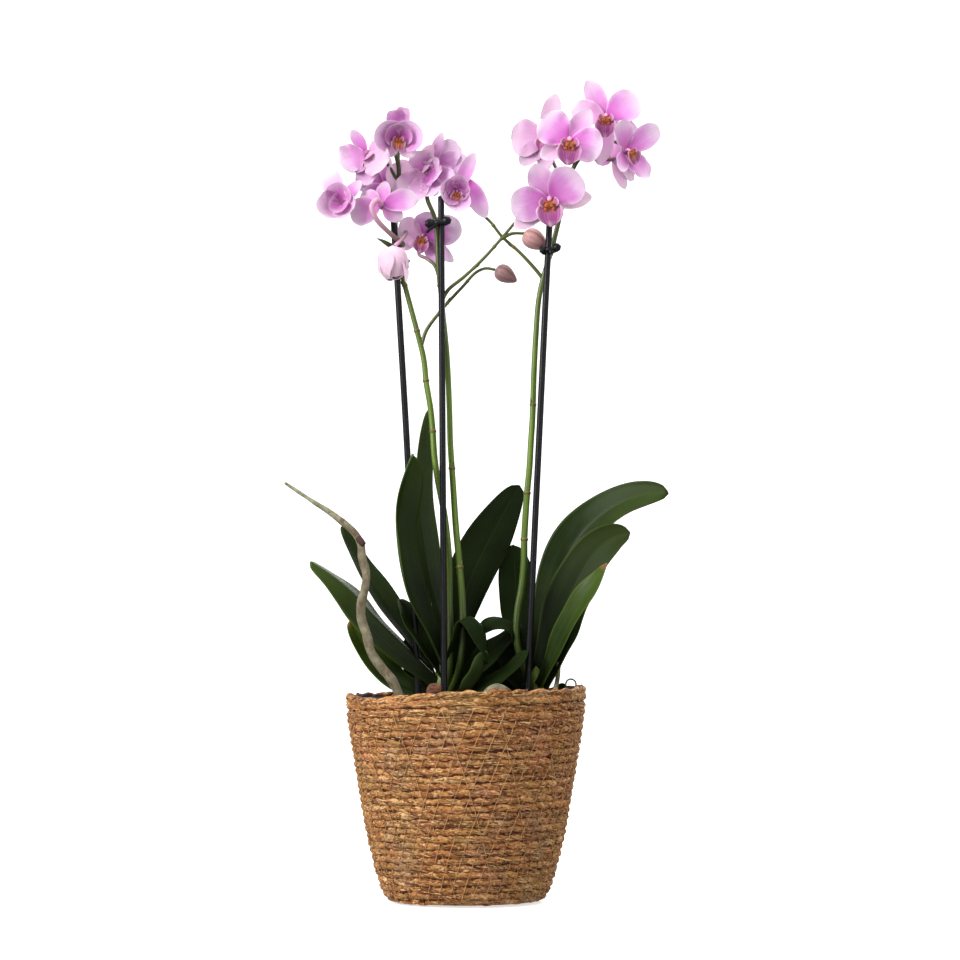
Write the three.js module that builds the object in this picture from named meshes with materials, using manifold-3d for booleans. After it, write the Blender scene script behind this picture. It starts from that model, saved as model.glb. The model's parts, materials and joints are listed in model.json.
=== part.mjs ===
// A moth orchid with two leaf fans and three flower spikes, tied to three sticks, in a growing pot of bark
// that stands inside a lined basket of sewn seagrass rope. Millimetres, +Z up, seen from -Y.
// The origin is the centre of the basket's underside, which rests on the surface at z = 0.

import Module from 'manifold-3d'
import * as THREE from 'three'
import { mergeVertices } from 'three/addons/utils/BufferGeometryUtils.js'

const wasm = await Module()
wasm.setup()

// Driving dimensions
const GAP = 0.3
const BASKET_HEIGHT = 128
const BASKET_TOP_RADIUS = 72.6
const BASKET_FOOT_RADIUS = 44
const BASKET_WALL = 4.6
const BASKET_FLOOR = 5
const BASKET_FLOOR_RADIUS = 45
const RIM_LEAN = 2.4
const RIM_ROPE_RADIUS = 2.9
const RIM_RING_RADIUS = 70.4
const RIM_LOOP_RADIUS = 3.1
const RIM_LOOP_CENTRE = [63, -14.5, 130.8]
const LINER_WALL = 0.5
const LINER_DROP = 3.6
const POT_HEIGHT = 115
const POT_WALL = 0.8
const POT_FOOT_RADIUS = 44
const POT_TOP_RADIUS = 60
const POT_LIP = 2
const POT_LIP_HEIGHT = 4
const DRAIN_HOLE_RADIUS = 4
const DRAIN_HOLES = 6
const DRAIN_RING_RADIUS = 28
const BARK_TOP = 116
const BARK_MOUND = 8
const STICK_RADIUS = 1.8
const STICK_FOOT = 32
const STEM_RADIUS = 7
const STEM_TAPER = 0.25
const STEM_FOOT = 100
const LEAF_THICKNESS = 2
const LEAF_EDGE = 0.9
const TEPAL_THICKNESS = 1.6
const COLUMN_RADIUS = 2.7
const COLUMN_HALF_LENGTH = 5
const LIP_HALF_SIZE = [5, 5.5, 2.4]
const LIP_PLACE = [0, -5.5, 4.5]
const LIP_TILT = -0.6
const STALK_RADIUS = 1.1
const STALK_END_DEPTH = 2
const STALK_BEND_DEPTH = 11
const STALK_STEPS = 6
const SPIKE_FOOT_RADIUS = 2.1
const SPIKE_TIP_RADIUS = 1.3
const BRANCH_RADIUS = 0.95
const WIRE_RADIUS = 0.45
const CLIP_BLOCK_HALF_SIZE = [5.2, 7.4, 3]
const CLIP_WING_HALF_HEIGHT = 1.6
const CLIP_WING_HALF_DEPTH = 2.2
const BUD_TAPER = 0.28
const ROUND_SEGMENTS = 28

// Outer side of the basket from its foot to the top of its wall, as [radius, height]
const BASKET_OUTER = [
  [BASKET_FOOT_RADIUS, 0],
  [48.6, 3.5],
  [51.4, 9],
  [55, 20],
  [60.4, 43],
  [66.4, 78],
  [70.4, 103],
  [BASKET_TOP_RADIUS, BASKET_HEIGHT - 2 * RIM_ROPE_RADIUS - GAP]
]

// Sticks, as points from foot to tip
const STICKS = {
  left: [[-24, -5, STICK_FOOT], [-29, -6, 127], [-35, -7, 262], [-41, -8, 364], [-44, -8, 413]],
  middle: [[-13, -18, STICK_FOOT], [-13, -18, 128], [-14, -18, 272], [-15, -18, 425]],
  right: [[33, -14, STICK_FOOT], [37, -14, 127], [40.5, -15, 204], [44, -16, 276], [48, -16, 359],
    [50.5, -16, 408]]
}

// The short stem of each leaf fan, as [x, y, top]
const STEMS = { left: [-14, 1, 148], right: [43, 3, 144] }

// Leaves from base to tip: points of the midrib, the way the upper face looks, full width and how far
// the two halves fold up, in degrees (a drooping leaf has a negative fold)
const LEAVES = [
  { spine: [[-14, 1, 143], [-22, 1, 144], [-35, 5, 160], [-46, 8, 175], [-55, 10, 189], [-64, 12, 203],
    [-76, 14, 227]],
    face: [0.55, -0.75, 0.4], width: 23, fold: 20 },
  { spine: [[-12, 1, 146], [-16, 5, 171], [-22, 10, 194], [-26, 14, 217], [-28, 17, 240], [-27, 19, 263],
    [-23, 20, 299]],
    face: [0.7, -0.8, 0], width: 20, fold: 22 },
  { spine: [[-10, 1, 143], [-8, 6, 156], [-3, 11, 176], [4, 18, 197], [13, 26, 216], [23, 30, 235],
    [33, 32, 253]],
    face: [-0.35, -1, 0.1], width: 33, fold: 16 },
  { spine: [[-14, -2, 141], [-23, -6, 162], [-32, -10, 180], [-37, -14, 196], [-40, -18, 214],
    [-40, -21, 234], [-32, -23, 269]],
    face: [0.85, -0.5, 0], width: 26, fold: 34 },
  { spine: [[-15, -2, 136], [-23, -4, 150], [-30, -5, 162], [-36, -6, 173], [-41, -7, 182]],
    face: [0.4, -0.6, 0.7], width: 20, fold: 25 },
  { spine: [[-14, -1, 131], [-25, -6, 141], [-41, -13, 157], [-55, -19, 171], [-68, -23, 185],
    [-81, -25, 196], [-93, -26, 204]],
    face: [0.3, -0.7, 0.7], width: 28, fold: -30 },
  { spine: [[-16, 0, 125], [-28, -2, 126], [-42, -5, 132], [-53, -8, 143], [-63, -9, 156], [-70, -8, 169]],
    face: [0.3, -0.8, 0.5], width: 20, fold: 20 },
  { spine: [[-10, -3, 137], [-7, -8, 151], [-2, -13, 165], [2, -17, 171], [7, -21, 167], [11, -23, 156],
    [13, -23, 143]],
    face: [0.1, -0.06, 1], width: 20, fold: -20 },
  { spine: [[-8, -5, 122], [0, -11, 126], [6, -17, 133], [10, -22, 142], [12, -25, 151]],
    face: [-0.5, 0.4, 0.8], width: 15, fold: 35, young: true },
  { spine: [[41, 5, 140], [36, 9, 154], [32, 14, 172], [30, 19, 195], [29, 22, 216]],
    face: [0.2, -1, 0.2], width: 24, fold: 18 },
  { spine: [[44, 4, 138], [47, 7, 153], [51, 10, 175], [58, 13, 199], [68, 13, 219], [82, 11, 233],
    [97, 8, 242],
    [111, 5, 246], [123, 2, 247]],
    face: [-0.2, -0.85, 0.45], width: 29, fold: 20 },
  { spine: [[45, 2, 135], [50, -3, 150], [58, -7, 172], [68, -10, 194], [78, -12, 210], [89, -13, 219],
    [99, -14, 222]],
    face: [-0.3, -0.95, 0.15], width: 29, fold: 18 },
  { spine: [[46, 3, 133], [51, 4, 145], [57, 4, 163], [64, 3, 181], [76, 1, 200]],
    face: [-0.6, -0.5, 0.6], width: 22, fold: 28 },
  { spine: [[45, -5, 129], [52, -13, 144], [60, -22, 162], [69, -29, 179], [78, -33, 192], [84, -35, 203]],
    face: [-0.7, -0.6, 0.45], width: 21, fold: 22 },
  { spine: [[47, 0, 125], [52, -4, 136], [58, -8, 149], [65, -12, 164], [73, -16, 180]],
    face: [-0.6, -0.6, 0.5], width: 19, fold: 22 },
  { spine: [[41, 0, 141], [37, -3, 154], [31, -6, 165], [22, -8, 169], [14, -9, 168], [8, -10, 161]],
    face: [0, -0.5, 0.9], width: 19, fold: -16 },
  { spine: [[-9, 2, 127], [0, 0, 132], [7, -1, 140], [15, 0, 149], [24, 1, 157], [34, 3, 166]],
    face: [-0.4, -0.6, 0.7], width: 22, fold: 16 },
  { spine: [[-8, -1, 121], [2, -10, 123], [11, -15, 127], [20, -17, 133], [29, -18, 141], [37, -18, 151]],
    face: [-0.4, -0.5, 0.8], width: 18, fold: 18 }
]

// Flower spikes: the main stem from foot to tip, and thin branches that fork from it
const SPIKES = {
  left: {
    main: [[-12, -2, 127], [-10, -7, 140], [-9.5, -9, 152], [-9.8, -10, 182], [-10.2, -11, 206],
      [-13, -12.5, 233], [-17, -12.5, 254],
      [-19, -12, 269], [-20, -11, 284], [-21.5, -10, 298], [-24, -9, 313], [-25.5, -8, 327], [-29, -7, 342],
      [-33, -6, 357], [-37, -4.5, 372], [-40.5, -2.5, 385], [-42.5, -1, 396], [-43, 0, 410], [-42.5, 0, 429],
      [-41, -1, 444], [-43, -2, 454]],
    branches: [[[-27, -7.5, 336], [-24, -7.2, 345], [-16, -7.6, 356], [-10, -8, 363], [-2, -8.6, 371.5],
      [6, -9.5, 380],
      [12, -10.4, 382.4], [17.5, -10.5, 381.6]]]
  },
  middle: {
    main: [[-11, -1, 124], [-5, -8, 137], [-2.2, -11.6, 154], [-2.2, -12, 181], [-4, -12, 204],
      [-6, -12, 225], [-7.5, -12, 247],
      [-8.5, -12, 262], [-9.4, -12, 276], [-10, -12.4, 298], [-11.5, -13.6, 330], [-14, -14, 356],
        [-16.6, -13.8, 381],
      [-17.8, -12.8, 404], [-19.2, -11, 414], [-23.5, -9, 425], [-23.5, -4, 435]],
    branches: [
      [[-15, -13.9, 361], [-11, -13.9, 368.5], [-1, -13.5, 377], [11, -12.8, 388.5], [22, -12.2, 401],
        [29.5, -11.8, 410]],
      [[21, -12.2, 400], [28, -12, 403.4], [35.5, -11.6, 403.6]]
    ]
  },
  right: {
    main: [[41, 0, 126], [34.5, -6, 142], [30.5, -8.8, 158], [31.2, -9.6, 175], [33.6, -10.2, 189],
      [35, -10.8, 204], [35.2, -11, 218],
      [36, -11.6, 233], [37, -11.8, 247], [38.4, -11.8, 262], [39.2, -11.6, 276], [40.2, -11.4, 291],
        [41.2, -11, 320],
      [42.4, -10.2, 342], [44.2, -9.8, 364], [47.2, -9.2, 378], [52, -8.6, 394], [55, -8, 406],
        [59.5, -6, 425],
      [65.5, -4, 445], [71.5, -4, 454], [78, -2, 462]],
    branches: [[[48.5, -9, 372], [46, -9.2, 377], [33, -8.6, 392], [22, -8, 402], [15, -7.6, 411],
      [9, -7.4, 416.5],
      [2, -7, 422]]]
  }
}

// Flowers: the heart, how far the face turns to the right, tilts up and rolls to the left, in degrees,
// the length of a petal, how far the petals close, the spike and point that the stalk grows from, and the
// points of its way round a stick
const FLOWERS = {
  flower_right_low: { heart: [51, -30, 421], turn: -12, tilt: 0, roll: 22, petal: 25,
    cup: 8, spike: 'right', from: [57, -7, 415] },
  flower_right_front: { heart: [61, -25, 458], turn: 6, tilt: 0, roll: -24, petal: 23.5,
    cup: 10, spike: 'right', from: [66, -4, 446] },
  flower_right_top: { heart: [86, -10, 475], turn: -4, tilt: 4, roll: 25, petal: 24,
    cup: 10, spike: 'right', from: [77, -2.3, 461] },
  flower_right_outer: { heart: [99, -17, 453], turn: 48, tilt: -6, roll: -22, petal: 21,
    cup: 28, spike: 'right', from: [74, -3.2, 457] },
  flower_right_back: { heart: [49, 9, 468], turn: -28, tilt: 6, roll: -12, petal: 23,
    cup: 14, spike: 'right', from: [62, -5, 436] },
  flower_right_rear: { heart: [91, 14, 453], turn: 148, tilt: 8, roll: 10, petal: 20,
    cup: 22, spike: 'right', from: [70, -4, 452] },
  flower_left_top: { heart: [-41, -13, 462], turn: 2, tilt: -12, roll: 4, petal: 22,
    cup: 42, spike: 'left', from: [-41.5, -1.4, 447] },
  flower_left_upper: { heart: [-61, -8, 450], turn: -42, tilt: 6, roll: 8, petal: 22,
    cup: 26, spike: 'left', from: [-42, -0.6, 438] },
  flower_left_outer: { heart: [-75, -17, 423], turn: -14, tilt: -10, roll: -12, petal: 23,
    cup: 56, spike: 'left', from: [-43, 0, 416] },
  flower_left_front: { heart: [-51, -24, 422], turn: 156, tilt: -6, roll: 0, petal: 22,
    cup: 6, spike: 'left', from: [-42.2, -1, 396],
    route: [[-38.4, -7, 397.5], [-41, -15, 399], [-47, -25, 403], [-54, -31, 410], [-56.5, -32, 417]] },
  flower_left_low: { heart: [-44, -22, 388], turn: 10, tilt: -58, roll: 20, petal: 19,
    cup: 52, spike: 'left', from: [-42.5, -0.6, 403],
    route: [[-37, -4, 405.5], [-36.5, -11, 403], [-39, -17, 398]] },
  flower_left_back: { heart: [-50, 14, 437], turn: -140, tilt: 10, roll: 0, petal: 20,
    cup: 20, spike: 'left', from: [-42.8, 0, 424] },
  flower_middle_low: { heart: [-25, -5, 403], turn: -10, tilt: 0, roll: -14, petal: 21,
    cup: 14, spike: 'middle', from: [-16, -13.9, 376] },
  flower_middle_top: { heart: [-22, -2, 443], turn: -32, tilt: 24, roll: 10, petal: 24,
    cup: 18, spike: 'middle', from: [-23.4, -7, 430] },
  flower_middle_side: { heart: [-5, -12, 429], turn: 14, tilt: -4, roll: -16, petal: 21,
    cup: 40, spike: 'right', from: [3.4, -7, 420.9] }
}

// Closed buds: centre, the way the point looks and size
const BUDS = {
  bud_upper: { centre: [42, -10.4, 399.5], point: [0.85, 0.1, -0.5], length: 16.5, width: 12 },
  bud_lower: { centre: [24, -10.5, 378.5], point: [0.85, 0, -0.52], length: 14, width: 10.4 }
}

// Clips that tie a spike to its stick: centre, half width of the wings and their roll in degrees
const CLIPS = {
  left: { centre: [-41.5, -5.2, 386.5], wing: 7.5, roll: -32 },
  middle: { centre: [-16.5, -15.2, 409], wing: 7, roll: 8 },
  right: { centre: [50.7, -12.4, 393], wing: 7, roll: 12 }
}

// Aerial roots: points from the end in the bark, and the radius at each end
const ROOTS = {
  aerial_root_long: {
    path: [[-34, -30, 104], [-37, -32, 116], [-40, -34, 126], [-44, -35, 134], [-50, -36, 141],
      [-56, -37, 150],
      [-59, -37, 161], [-62, -37, 170], [-62, -37, 178], [-60, -37, 187], [-59, -36, 196], [-61.5, -35, 206],
      [-62.5, -34, 215], [-67, -34, 222], [-74, -33, 228], [-82, -32, 234], [-90, -31, 239],
        [-99, -30, 245], [-108, -29, 251]],
    radii: [3.1, 3.1, 2.9, 2.6, 2, 0.9]
  },
  aerial_root_arch: {
    path: [[8, -36, 108], [10, -35, 120], [15, -34, 127.5], [21, -33, 128], [27, -30, 121], [29, -28, 108]],
    radii: [2.8, 3, 2.4]
  },
  aerial_root_stub: { path: [[50, -12, 104], [52, -11, 120], [55, -9, 133], [56, -8, 144]],
    radii: [1.8, 1.7, 1.3] }
}

// Loose pieces of bark on top of the filling: centre, rough size and turn about Z in degrees
const CHIPS = [
  { centre: [-19, -27, 125], size: [9, 7, 13], turn: 20 },
  { centre: [46, -21, 121], size: [12, 8, 9], turn: -30 },
  { centre: [-8, 36, 121], size: [16, 9, 8], turn: 35 },
  { centre: [26, 30, 122], size: [13, 11, 7], turn: -20 },
  { centre: [-42, 22, 120], size: [14, 9, 8], turn: 70 }
]

// Colour, roughness and metalness of each finish
const FINISHES = {
  seagrass: [0xb4875a, 0.85, 0],
  thread: [0x3c4038, 0.6, 0],
  liner: [0x3a3d3c, 0.5, 0],
  clear_pot: [0xb9c2bd, 0.25, 0],
  bark: [0x5a3d28, 0.9, 0],
  stem: [0x5c6f35, 0.55, 0],
  leaf: [0x1f3a1c, 0.35, 0],
  young_leaf: [0x4f7d22, 0.4, 0],
  spike: [0x5c7a2c, 0.45, 0],
  root: [0xb3a691, 0.8, 0],
  petal: [0xd9a0d8, 0.55, 0],
  bud: [0x9a6c70, 0.6, 0],
  stick: [0x151517, 0.35, 0]
}

const orchid = new THREE.Group()
// Pieces already in place, each grown by the gap, which later pieces keep clear of
const taken = []

function vector([x, y, z]) {
  return new THREE.Vector3(x, y, z)
}

function curveThrough(points) {
  return new THREE.CatmullRomCurve3(points.map(vector), false, 'centripetal')
}

// A closed three.js geometry as a solid that can be joined and cut
function toSolid(geometry) {
  const bare = geometry.clone()
  bare.deleteAttribute('normal')
  bare.deleteAttribute('uv')
  const merged = mergeVertices(bare, 1e-4)
  const corners = merged.index.array
  const triangles = []
  for (let i = 0; i < corners.length; i += 3) {
    const [a, b, c] = [corners[i], corners[i + 1], corners[i + 2]]
    if (a !== b && b !== c && c !== a) triangles.push(a, b, c)
  }
  const vertProperties = new Float32Array(merged.attributes.position.array)
  const triVerts = new Uint32Array(triangles)
  return new wasm.Manifold(new wasm.Mesh({ numProp: 3, vertProperties, triVerts }))
}

function toGeometry(solid) {
  const { vertProperties, triVerts } = solid.getMesh()
  const geometry = new THREE.BufferGeometry()
  geometry.setAttribute('position', new THREE.BufferAttribute(vertProperties, 3))
  geometry.setIndex(new THREE.BufferAttribute(triVerts, 1))
  geometry.computeVertexNormals()
  return geometry
}

function join(geometries) {
  return geometries.map(toSolid).reduce((whole, solid) => whole.add(solid))
}

function boxesMeet(a, b) {
  return [0, 1, 2].every((axis) => a.min[axis] < b.max[axis] && b.min[axis] < a.max[axis])
}

// The solid less everything that is already in place; what a cut leaves loose is dropped
function clearOfOthers(solid) {
  let rest = solid
  for (const other of taken) {
    if (boxesMeet(rest.boundingBox(), other.boundingBox())) rest = rest.subtract(other)
  }
  return rest.decompose().reduce((most, body) => (body.volume() > most.volume() ? body : most))
}

function addMesh(name, geometry, finish) {
  const [color, roughness, metalness] = FINISHES[finish]
  const mesh = new THREE.Mesh(geometry, new THREE.MeshStandardMaterial({ color, roughness, metalness }))
  mesh.name = name
  orchid.add(mesh)
}

// Adds a piece that is shape(0), cut clear of its neighbours, and keeps the room of shape(GAP) free round it
function addPiece(name, shape, finish) {
  const piece = shape(0)
  addMesh(name, toGeometry(clearOfOthers(piece)), finish)
  taken.push(shape(GAP).add(piece))
}

// A closed solid through a row of rings that have the same number of points, each going round the
// way forward like a right-hand screw
function loft(rings) {
  const count = rings[0].length
  const last = (rings.length - 1) * count
  const triangles = []
  for (let row = 0; row < last; row += count) {
    for (let i = 0; i < count; i++) {
      const a = row + i
      const b = row + (i + 1) % count
      triangles.push(a, b, a + count, b, b + count, a + count)
    }
  }
  for (let i = 1; i < count - 1; i++) {
    triangles.push(0, i + 1, i)
    triangles.push(last, last + i, last + i + 1)
  }
  const geometry = new THREE.BufferGeometry().setFromPoints(rings.flat())
  geometry.setIndex(triangles)
  return geometry
}

// A round stem along a curve; radii are spread evenly from its start to its end
function taperedTube(curve, radii, sides, steps, grow = 0) {
  const frames = curve.computeFrenetFrames(steps, false)
  const rings = []
  for (let i = 0; i <= steps; i++) {
    const u = i / steps
    const at = u * (radii.length - 1)
    const low = Math.min(Math.floor(at), radii.length - 2)
    const radius = THREE.MathUtils.lerp(radii[low], radii[low + 1], at - low) + grow
    const centre = curve.getPointAt(u)
    if (i === 0) centre.addScaledVector(frames.tangents[i], -grow)
    if (i === steps) centre.addScaledVector(frames.tangents[i], grow)
    const ring = []
    for (let side = 0; side < sides; side++) {
      const angle = (side / sides) * 2 * Math.PI
      ring.push(centre.clone()
        .addScaledVector(frames.normals[i], radius * Math.cos(angle))
        .addScaledVector(frames.binormals[i], radius * Math.sin(angle)))
    }
    rings.push(ring)
  }
  return loft(rings)
}

// A ball with its pole along Y, whose unit points a function moves into place
function shapedBall(around, along, move) {
  const ball = new THREE.SphereGeometry(1, around, along)
  const position = ball.attributes.position
  const point = new THREE.Vector3()
  for (let i = 0; i < position.count; i++) {
    point.fromBufferAttribute(position, i)
    move(point)
    position.setXYZ(i, point.x, point.y, point.z)
  }
  return ball
}

// The rim of the hand-made basket stands a little higher on the right than on the left
function leanRim(geometry) {
  const position = geometry.attributes.position
  for (let i = 0; i < position.count; i++) {
    const height = position.getZ(i) / BASKET_HEIGHT
    position.setZ(i, position.getZ(i) + RIM_LEAN * height ** 2 * position.getX(i) / BASKET_TOP_RADIUS)
  }
  return geometry
}

// A profile of [radius, height] pairs turned about Z
function turned(profile, segments) {
  const points = profile.map(([radius, height]) => new THREE.Vector2(radius, height))
  return new THREE.LatheGeometry(points, segments).rotateX(Math.PI / 2)
}

// The inner side of the basket's wall, or a skin that lies inside it by the inset
function basketInner(inset) {
  return BASKET_OUTER.slice(2).map(([radius, height]) => [radius - BASKET_WALL - inset, height])
}

function addBasket() {
  const floor = [[BASKET_FLOOR_RADIUS, BASKET_FLOOR], [0, BASKET_FLOOR]]
  const profile = [[0, 0], ...BASKET_OUTER, ...basketInner(0).reverse(), ...floor]
  addMesh('basket', leanRim(turned(profile, ROUND_SEGMENTS)), 'seagrass')

  const rope = new THREE.TorusGeometry(RIM_RING_RADIUS, RIM_ROPE_RADIUS, 6, 36)
  rope.translate(0, 0, BASKET_HEIGHT - RIM_ROPE_RADIUS)
  addMesh('rim_rope', leanRim(rope), 'seagrass')

  const loop = new THREE.TorusGeometry(RIM_LOOP_RADIUS, WIRE_RADIUS, 5, 14).rotateX(Math.PI / 2)
  addMesh('rim_loop', loop.translate(...RIM_LOOP_CENTRE), 'thread')
}

// The liner is a thin film that lies against the wall and turns in a little at its brim
function addLiner() {
  const floor = BASKET_FLOOR + GAP
  const outside = basketInner(GAP)
  const inside = basketInner(GAP + LINER_WALL).reverse()
  const brim = BASKET_HEIGHT - LINER_DROP
  const brimRadius = outside.at(-1)[0] - 1
  const floorRadius = BASKET_FLOOR_RADIUS - GAP
  const profile = [[0, floor], [floorRadius, floor], ...outside, [brimRadius, brim],
    [brimRadius - LINER_WALL, brim],
    ...inside, [floorRadius - LINER_WALL, floor + LINER_WALL], [0, floor + LINER_WALL]]
  addMesh('basket_liner', leanRim(turned(profile, ROUND_SEGMENTS)), 'liner')
}

const potFloor = BASKET_FLOOR + LINER_WALL + 2 * GAP
const potTop = potFloor + POT_HEIGHT

function potRadius(height) {
  return THREE.MathUtils.mapLinear(height, potFloor, potTop, POT_FOOT_RADIUS, POT_TOP_RADIUS)
}

function addPot() {
  const lipFoot = potTop - POT_LIP_HEIGHT
  const profile = [[0, potFloor], [POT_FOOT_RADIUS, potFloor], [potRadius(lipFoot), lipFoot],
    [POT_TOP_RADIUS + POT_LIP, lipFoot], [POT_TOP_RADIUS + POT_LIP, potTop],
      [POT_TOP_RADIUS - POT_WALL, potTop],
    [POT_FOOT_RADIUS - POT_WALL, potFloor + POT_WALL], [0, potFloor + POT_WALL]]
  let pot = toSolid(turned(profile, ROUND_SEGMENTS))
  for (let i = 0; i < DRAIN_HOLES; i++) {
    const angle = (i / DRAIN_HOLES) * 2 * Math.PI
    const hole = new THREE.CylinderGeometry(DRAIN_HOLE_RADIUS, DRAIN_HOLE_RADIUS, 6, 12).rotateX(Math.PI / 2)
    hole.translate(DRAIN_RING_RADIUS * Math.cos(angle), DRAIN_RING_RADIUS * Math.sin(angle), potFloor)
    pot = pot.subtract(toSolid(hole))
  }
  addMesh('nursery_pot', toGeometry(pot), 'clear_pot')
}

function addSticks() {
  for (const [side, points] of Object.entries(STICKS)) {
    const curve = curveThrough(points)
    const shape = (grow) => toSolid(taperedTube(curve, [STICK_RADIUS, STICK_RADIUS], 6, 10, grow))
    addPiece(`support_stick_${side}`, shape, 'stick')
  }
}

function addStems() {
  for (const [side, [x, y, top]] of Object.entries(STEMS)) {
    const height = top - STEM_FOOT
    const shape = (grow) => toSolid(shapedBall(10, 6, (p) => {
      const share = (p.y + 1) / 2
      const radius = STEM_RADIUS * (1 - STEM_TAPER * share) + grow
      p.set(x + p.x * radius, y - p.z * radius, STEM_FOOT + share * height + Math.sign(p.y) * grow)
    }))
    addPiece(`plant_stem_${side}`, shape, 'stem')
  }
}

// The turned and rolled frame of a flower: its right, its top and the way it faces
function flowerFrame({ heart, turn, tilt, roll }) {
  const [a, b, c] = [turn, tilt, roll].map(THREE.MathUtils.degToRad)
  const facing = new THREE.Vector3(Math.sin(a) * Math.cos(b), -Math.cos(a) * Math.cos(b), Math.sin(b))
  const right = new THREE.Vector3(Math.cos(a), Math.sin(a), 0)
  const top = new THREE.Vector3().crossVectors(facing, right)
  return new THREE.Matrix4().makeBasis(right, top, facing)
    .multiply(new THREE.Matrix4().makeRotationZ(c))
    .setPosition(vector(heart))
}

// The stalk of a flower, from its spike to just inside the back of the flower, where it arrives square
// unless it has a route of its own that takes it round a stick
function stalk(flower) {
  const frame = flowerFrame(flower)
  const end = new THREE.Vector3(0, 0, -STALK_END_DEPTH).applyMatrix4(frame)
  if (flower.route) return curveThrough([flower.from, ...flower.route, end.toArray()])
  const behind = new THREE.Vector3(0, 0, -STALK_BEND_DEPTH).applyMatrix4(frame)
  return new THREE.QuadraticBezierCurve3(vector(flower.from), behind, end)
}

function addSpikes() {
  for (const [side, { main, branches }] of Object.entries(SPIKES)) {
    const stem = curveThrough(main)
    const twigs = branches.map(curveThrough)
    const stalks = Object.values(FLOWERS).filter((flower) => flower.spike === side).map(stalk)
    const shape = (grow) => join([
      taperedTube(stem, [SPIKE_FOOT_RADIUS, SPIKE_FOOT_RADIUS, 1.8, 1.6, SPIKE_TIP_RADIUS], 6, 22, grow),
      ...twigs.map((curve) => taperedTube(curve, [BRANCH_RADIUS + 0.2, BRANCH_RADIUS], 5, 8, grow)),
      ...stalks.map((curve) => taperedTube(curve, [STALK_RADIUS, STALK_RADIUS], 5, STALK_STEPS, grow))
    ])
    addPiece(`flower_spike_${side}`, shape, 'spike')
  }
}

// Each clip is a block that wraps the stick and the spike, with a wing to each side
function addClips() {
  const [across, deep, high] = CLIP_BLOCK_HALF_SIZE
  for (const [side, { centre, wing, roll }] of Object.entries(CLIPS)) {
    const shape = (grow) => {
      const block = shapedBall(8, 4, (p) => {
        p.set(p.x * (across + grow), -p.z * (deep + grow), p.y * (high + grow))
      })
      const wings = shapedBall(6, 4, (p) => {
        p.set(p.y * (wing + grow), p.x * (CLIP_WING_HALF_HEIGHT + grow), p.z * (CLIP_WING_HALF_DEPTH + grow))
      })
      const angle = THREE.MathUtils.degToRad(-roll)
      return join([block, wings].map((part) => part.rotateY(angle).translate(...centre)))
    }
    addPiece(`stem_clip_${side}`, shape, 'stick')
  }
}

function addRoots() {
  for (const [name, { path, radii }] of Object.entries(ROOTS)) {
    const curve = curveThrough(path)
    const steps = path.length > 10 ? 22 : 7
    addPiece(name, (grow) => toSolid(taperedTube(curve, radii, 6, steps, grow)), 'root')
  }
}

// Share of a leaf's full width at a place along it, from its narrow base to its round tip
function leafWidth(u) {
  const opening = 0.42 + 0.58 * THREE.MathUtils.smoothstep(u, 0, 0.5)
  const tip = Math.max(0, (u - 0.6) / 0.4)
  return opening * Math.sqrt(Math.max(0, 1 - tip ** 2.4))
}

// A leaf is a thick strip along its midrib, folded up on both sides of it
function leafGeometry({ spine, face, width, fold }, grow) {
  const curve = curveThrough(spine)
  const steps = spine.length > 5 ? 8 : 6
  const lift = THREE.MathUtils.degToRad(fold)
  const rings = []
  for (let i = 0; i <= steps; i++) {
    const u = i / steps
    const forward = curve.getTangentAt(u)
    const side = new THREE.Vector3().crossVectors(forward, vector(face)).normalize()
    const up = new THREE.Vector3().crossVectors(side, forward)
    const middle = curve.getPointAt(u)
    if (i === 0) middle.addScaledVector(forward, -grow)
    if (i === steps) middle.addScaledVector(forward, grow)
    const half = Math.max(0.7, leafWidth(u) * width / 2) + grow
    const rib = LEAF_THICKNESS / 2 + grow
    const edge = LEAF_EDGE / 2 + grow
    const at = (across, raised) => middle.clone().addScaledVector(side, across).addScaledVector(up, raised)
    const out = half * Math.cos(lift)
    const raised = half * Math.sin(lift)
    const right = [at(out, raised + edge), at(out, raised - edge)]
    const left = [at(-out, raised - edge), at(-out, raised + edge)]
    rings.push([at(0, rib), ...right, at(0, -rib), ...left])
  }
  return loft(rings)
}

function addLeaves() {
  LEAVES.forEach((leaf, i) => {
    const name = `leaf_${String(i + 1).padStart(2, '0')}`
    addPiece(name, (grow) => toSolid(leafGeometry(leaf, grow)), leaf.young ? 'young_leaf' : 'leaf')
  })
}

// Sepals and petals as [direction in degrees, length, width], for a petal of length 1
const TEPALS = [
  [90, 0.95, 0.58],
  [-54, 0.92, 0.55],
  [234, 0.92, 0.55],
  [18, 1, 0.95],
  [162, 1, 0.95]
]
const FLOWER_DIRECTIONS = 20

// How far the flower reaches from its heart in one direction: each tepal is an ellipse from the heart out
function flowerReach(angle, petal) {
  const reaches = TEPALS.map(([direction, length, width]) => {
    const off = angle - THREE.MathUtils.degToRad(direction)
    const [a, b] = [length / 2, width / 2]
    return 2 * Math.cos(off) / a / ((Math.cos(off) / a) ** 2 + (Math.sin(off) / b) ** 2)
  })
  return petal * Math.max(0.2, ...reaches)
}

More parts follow.
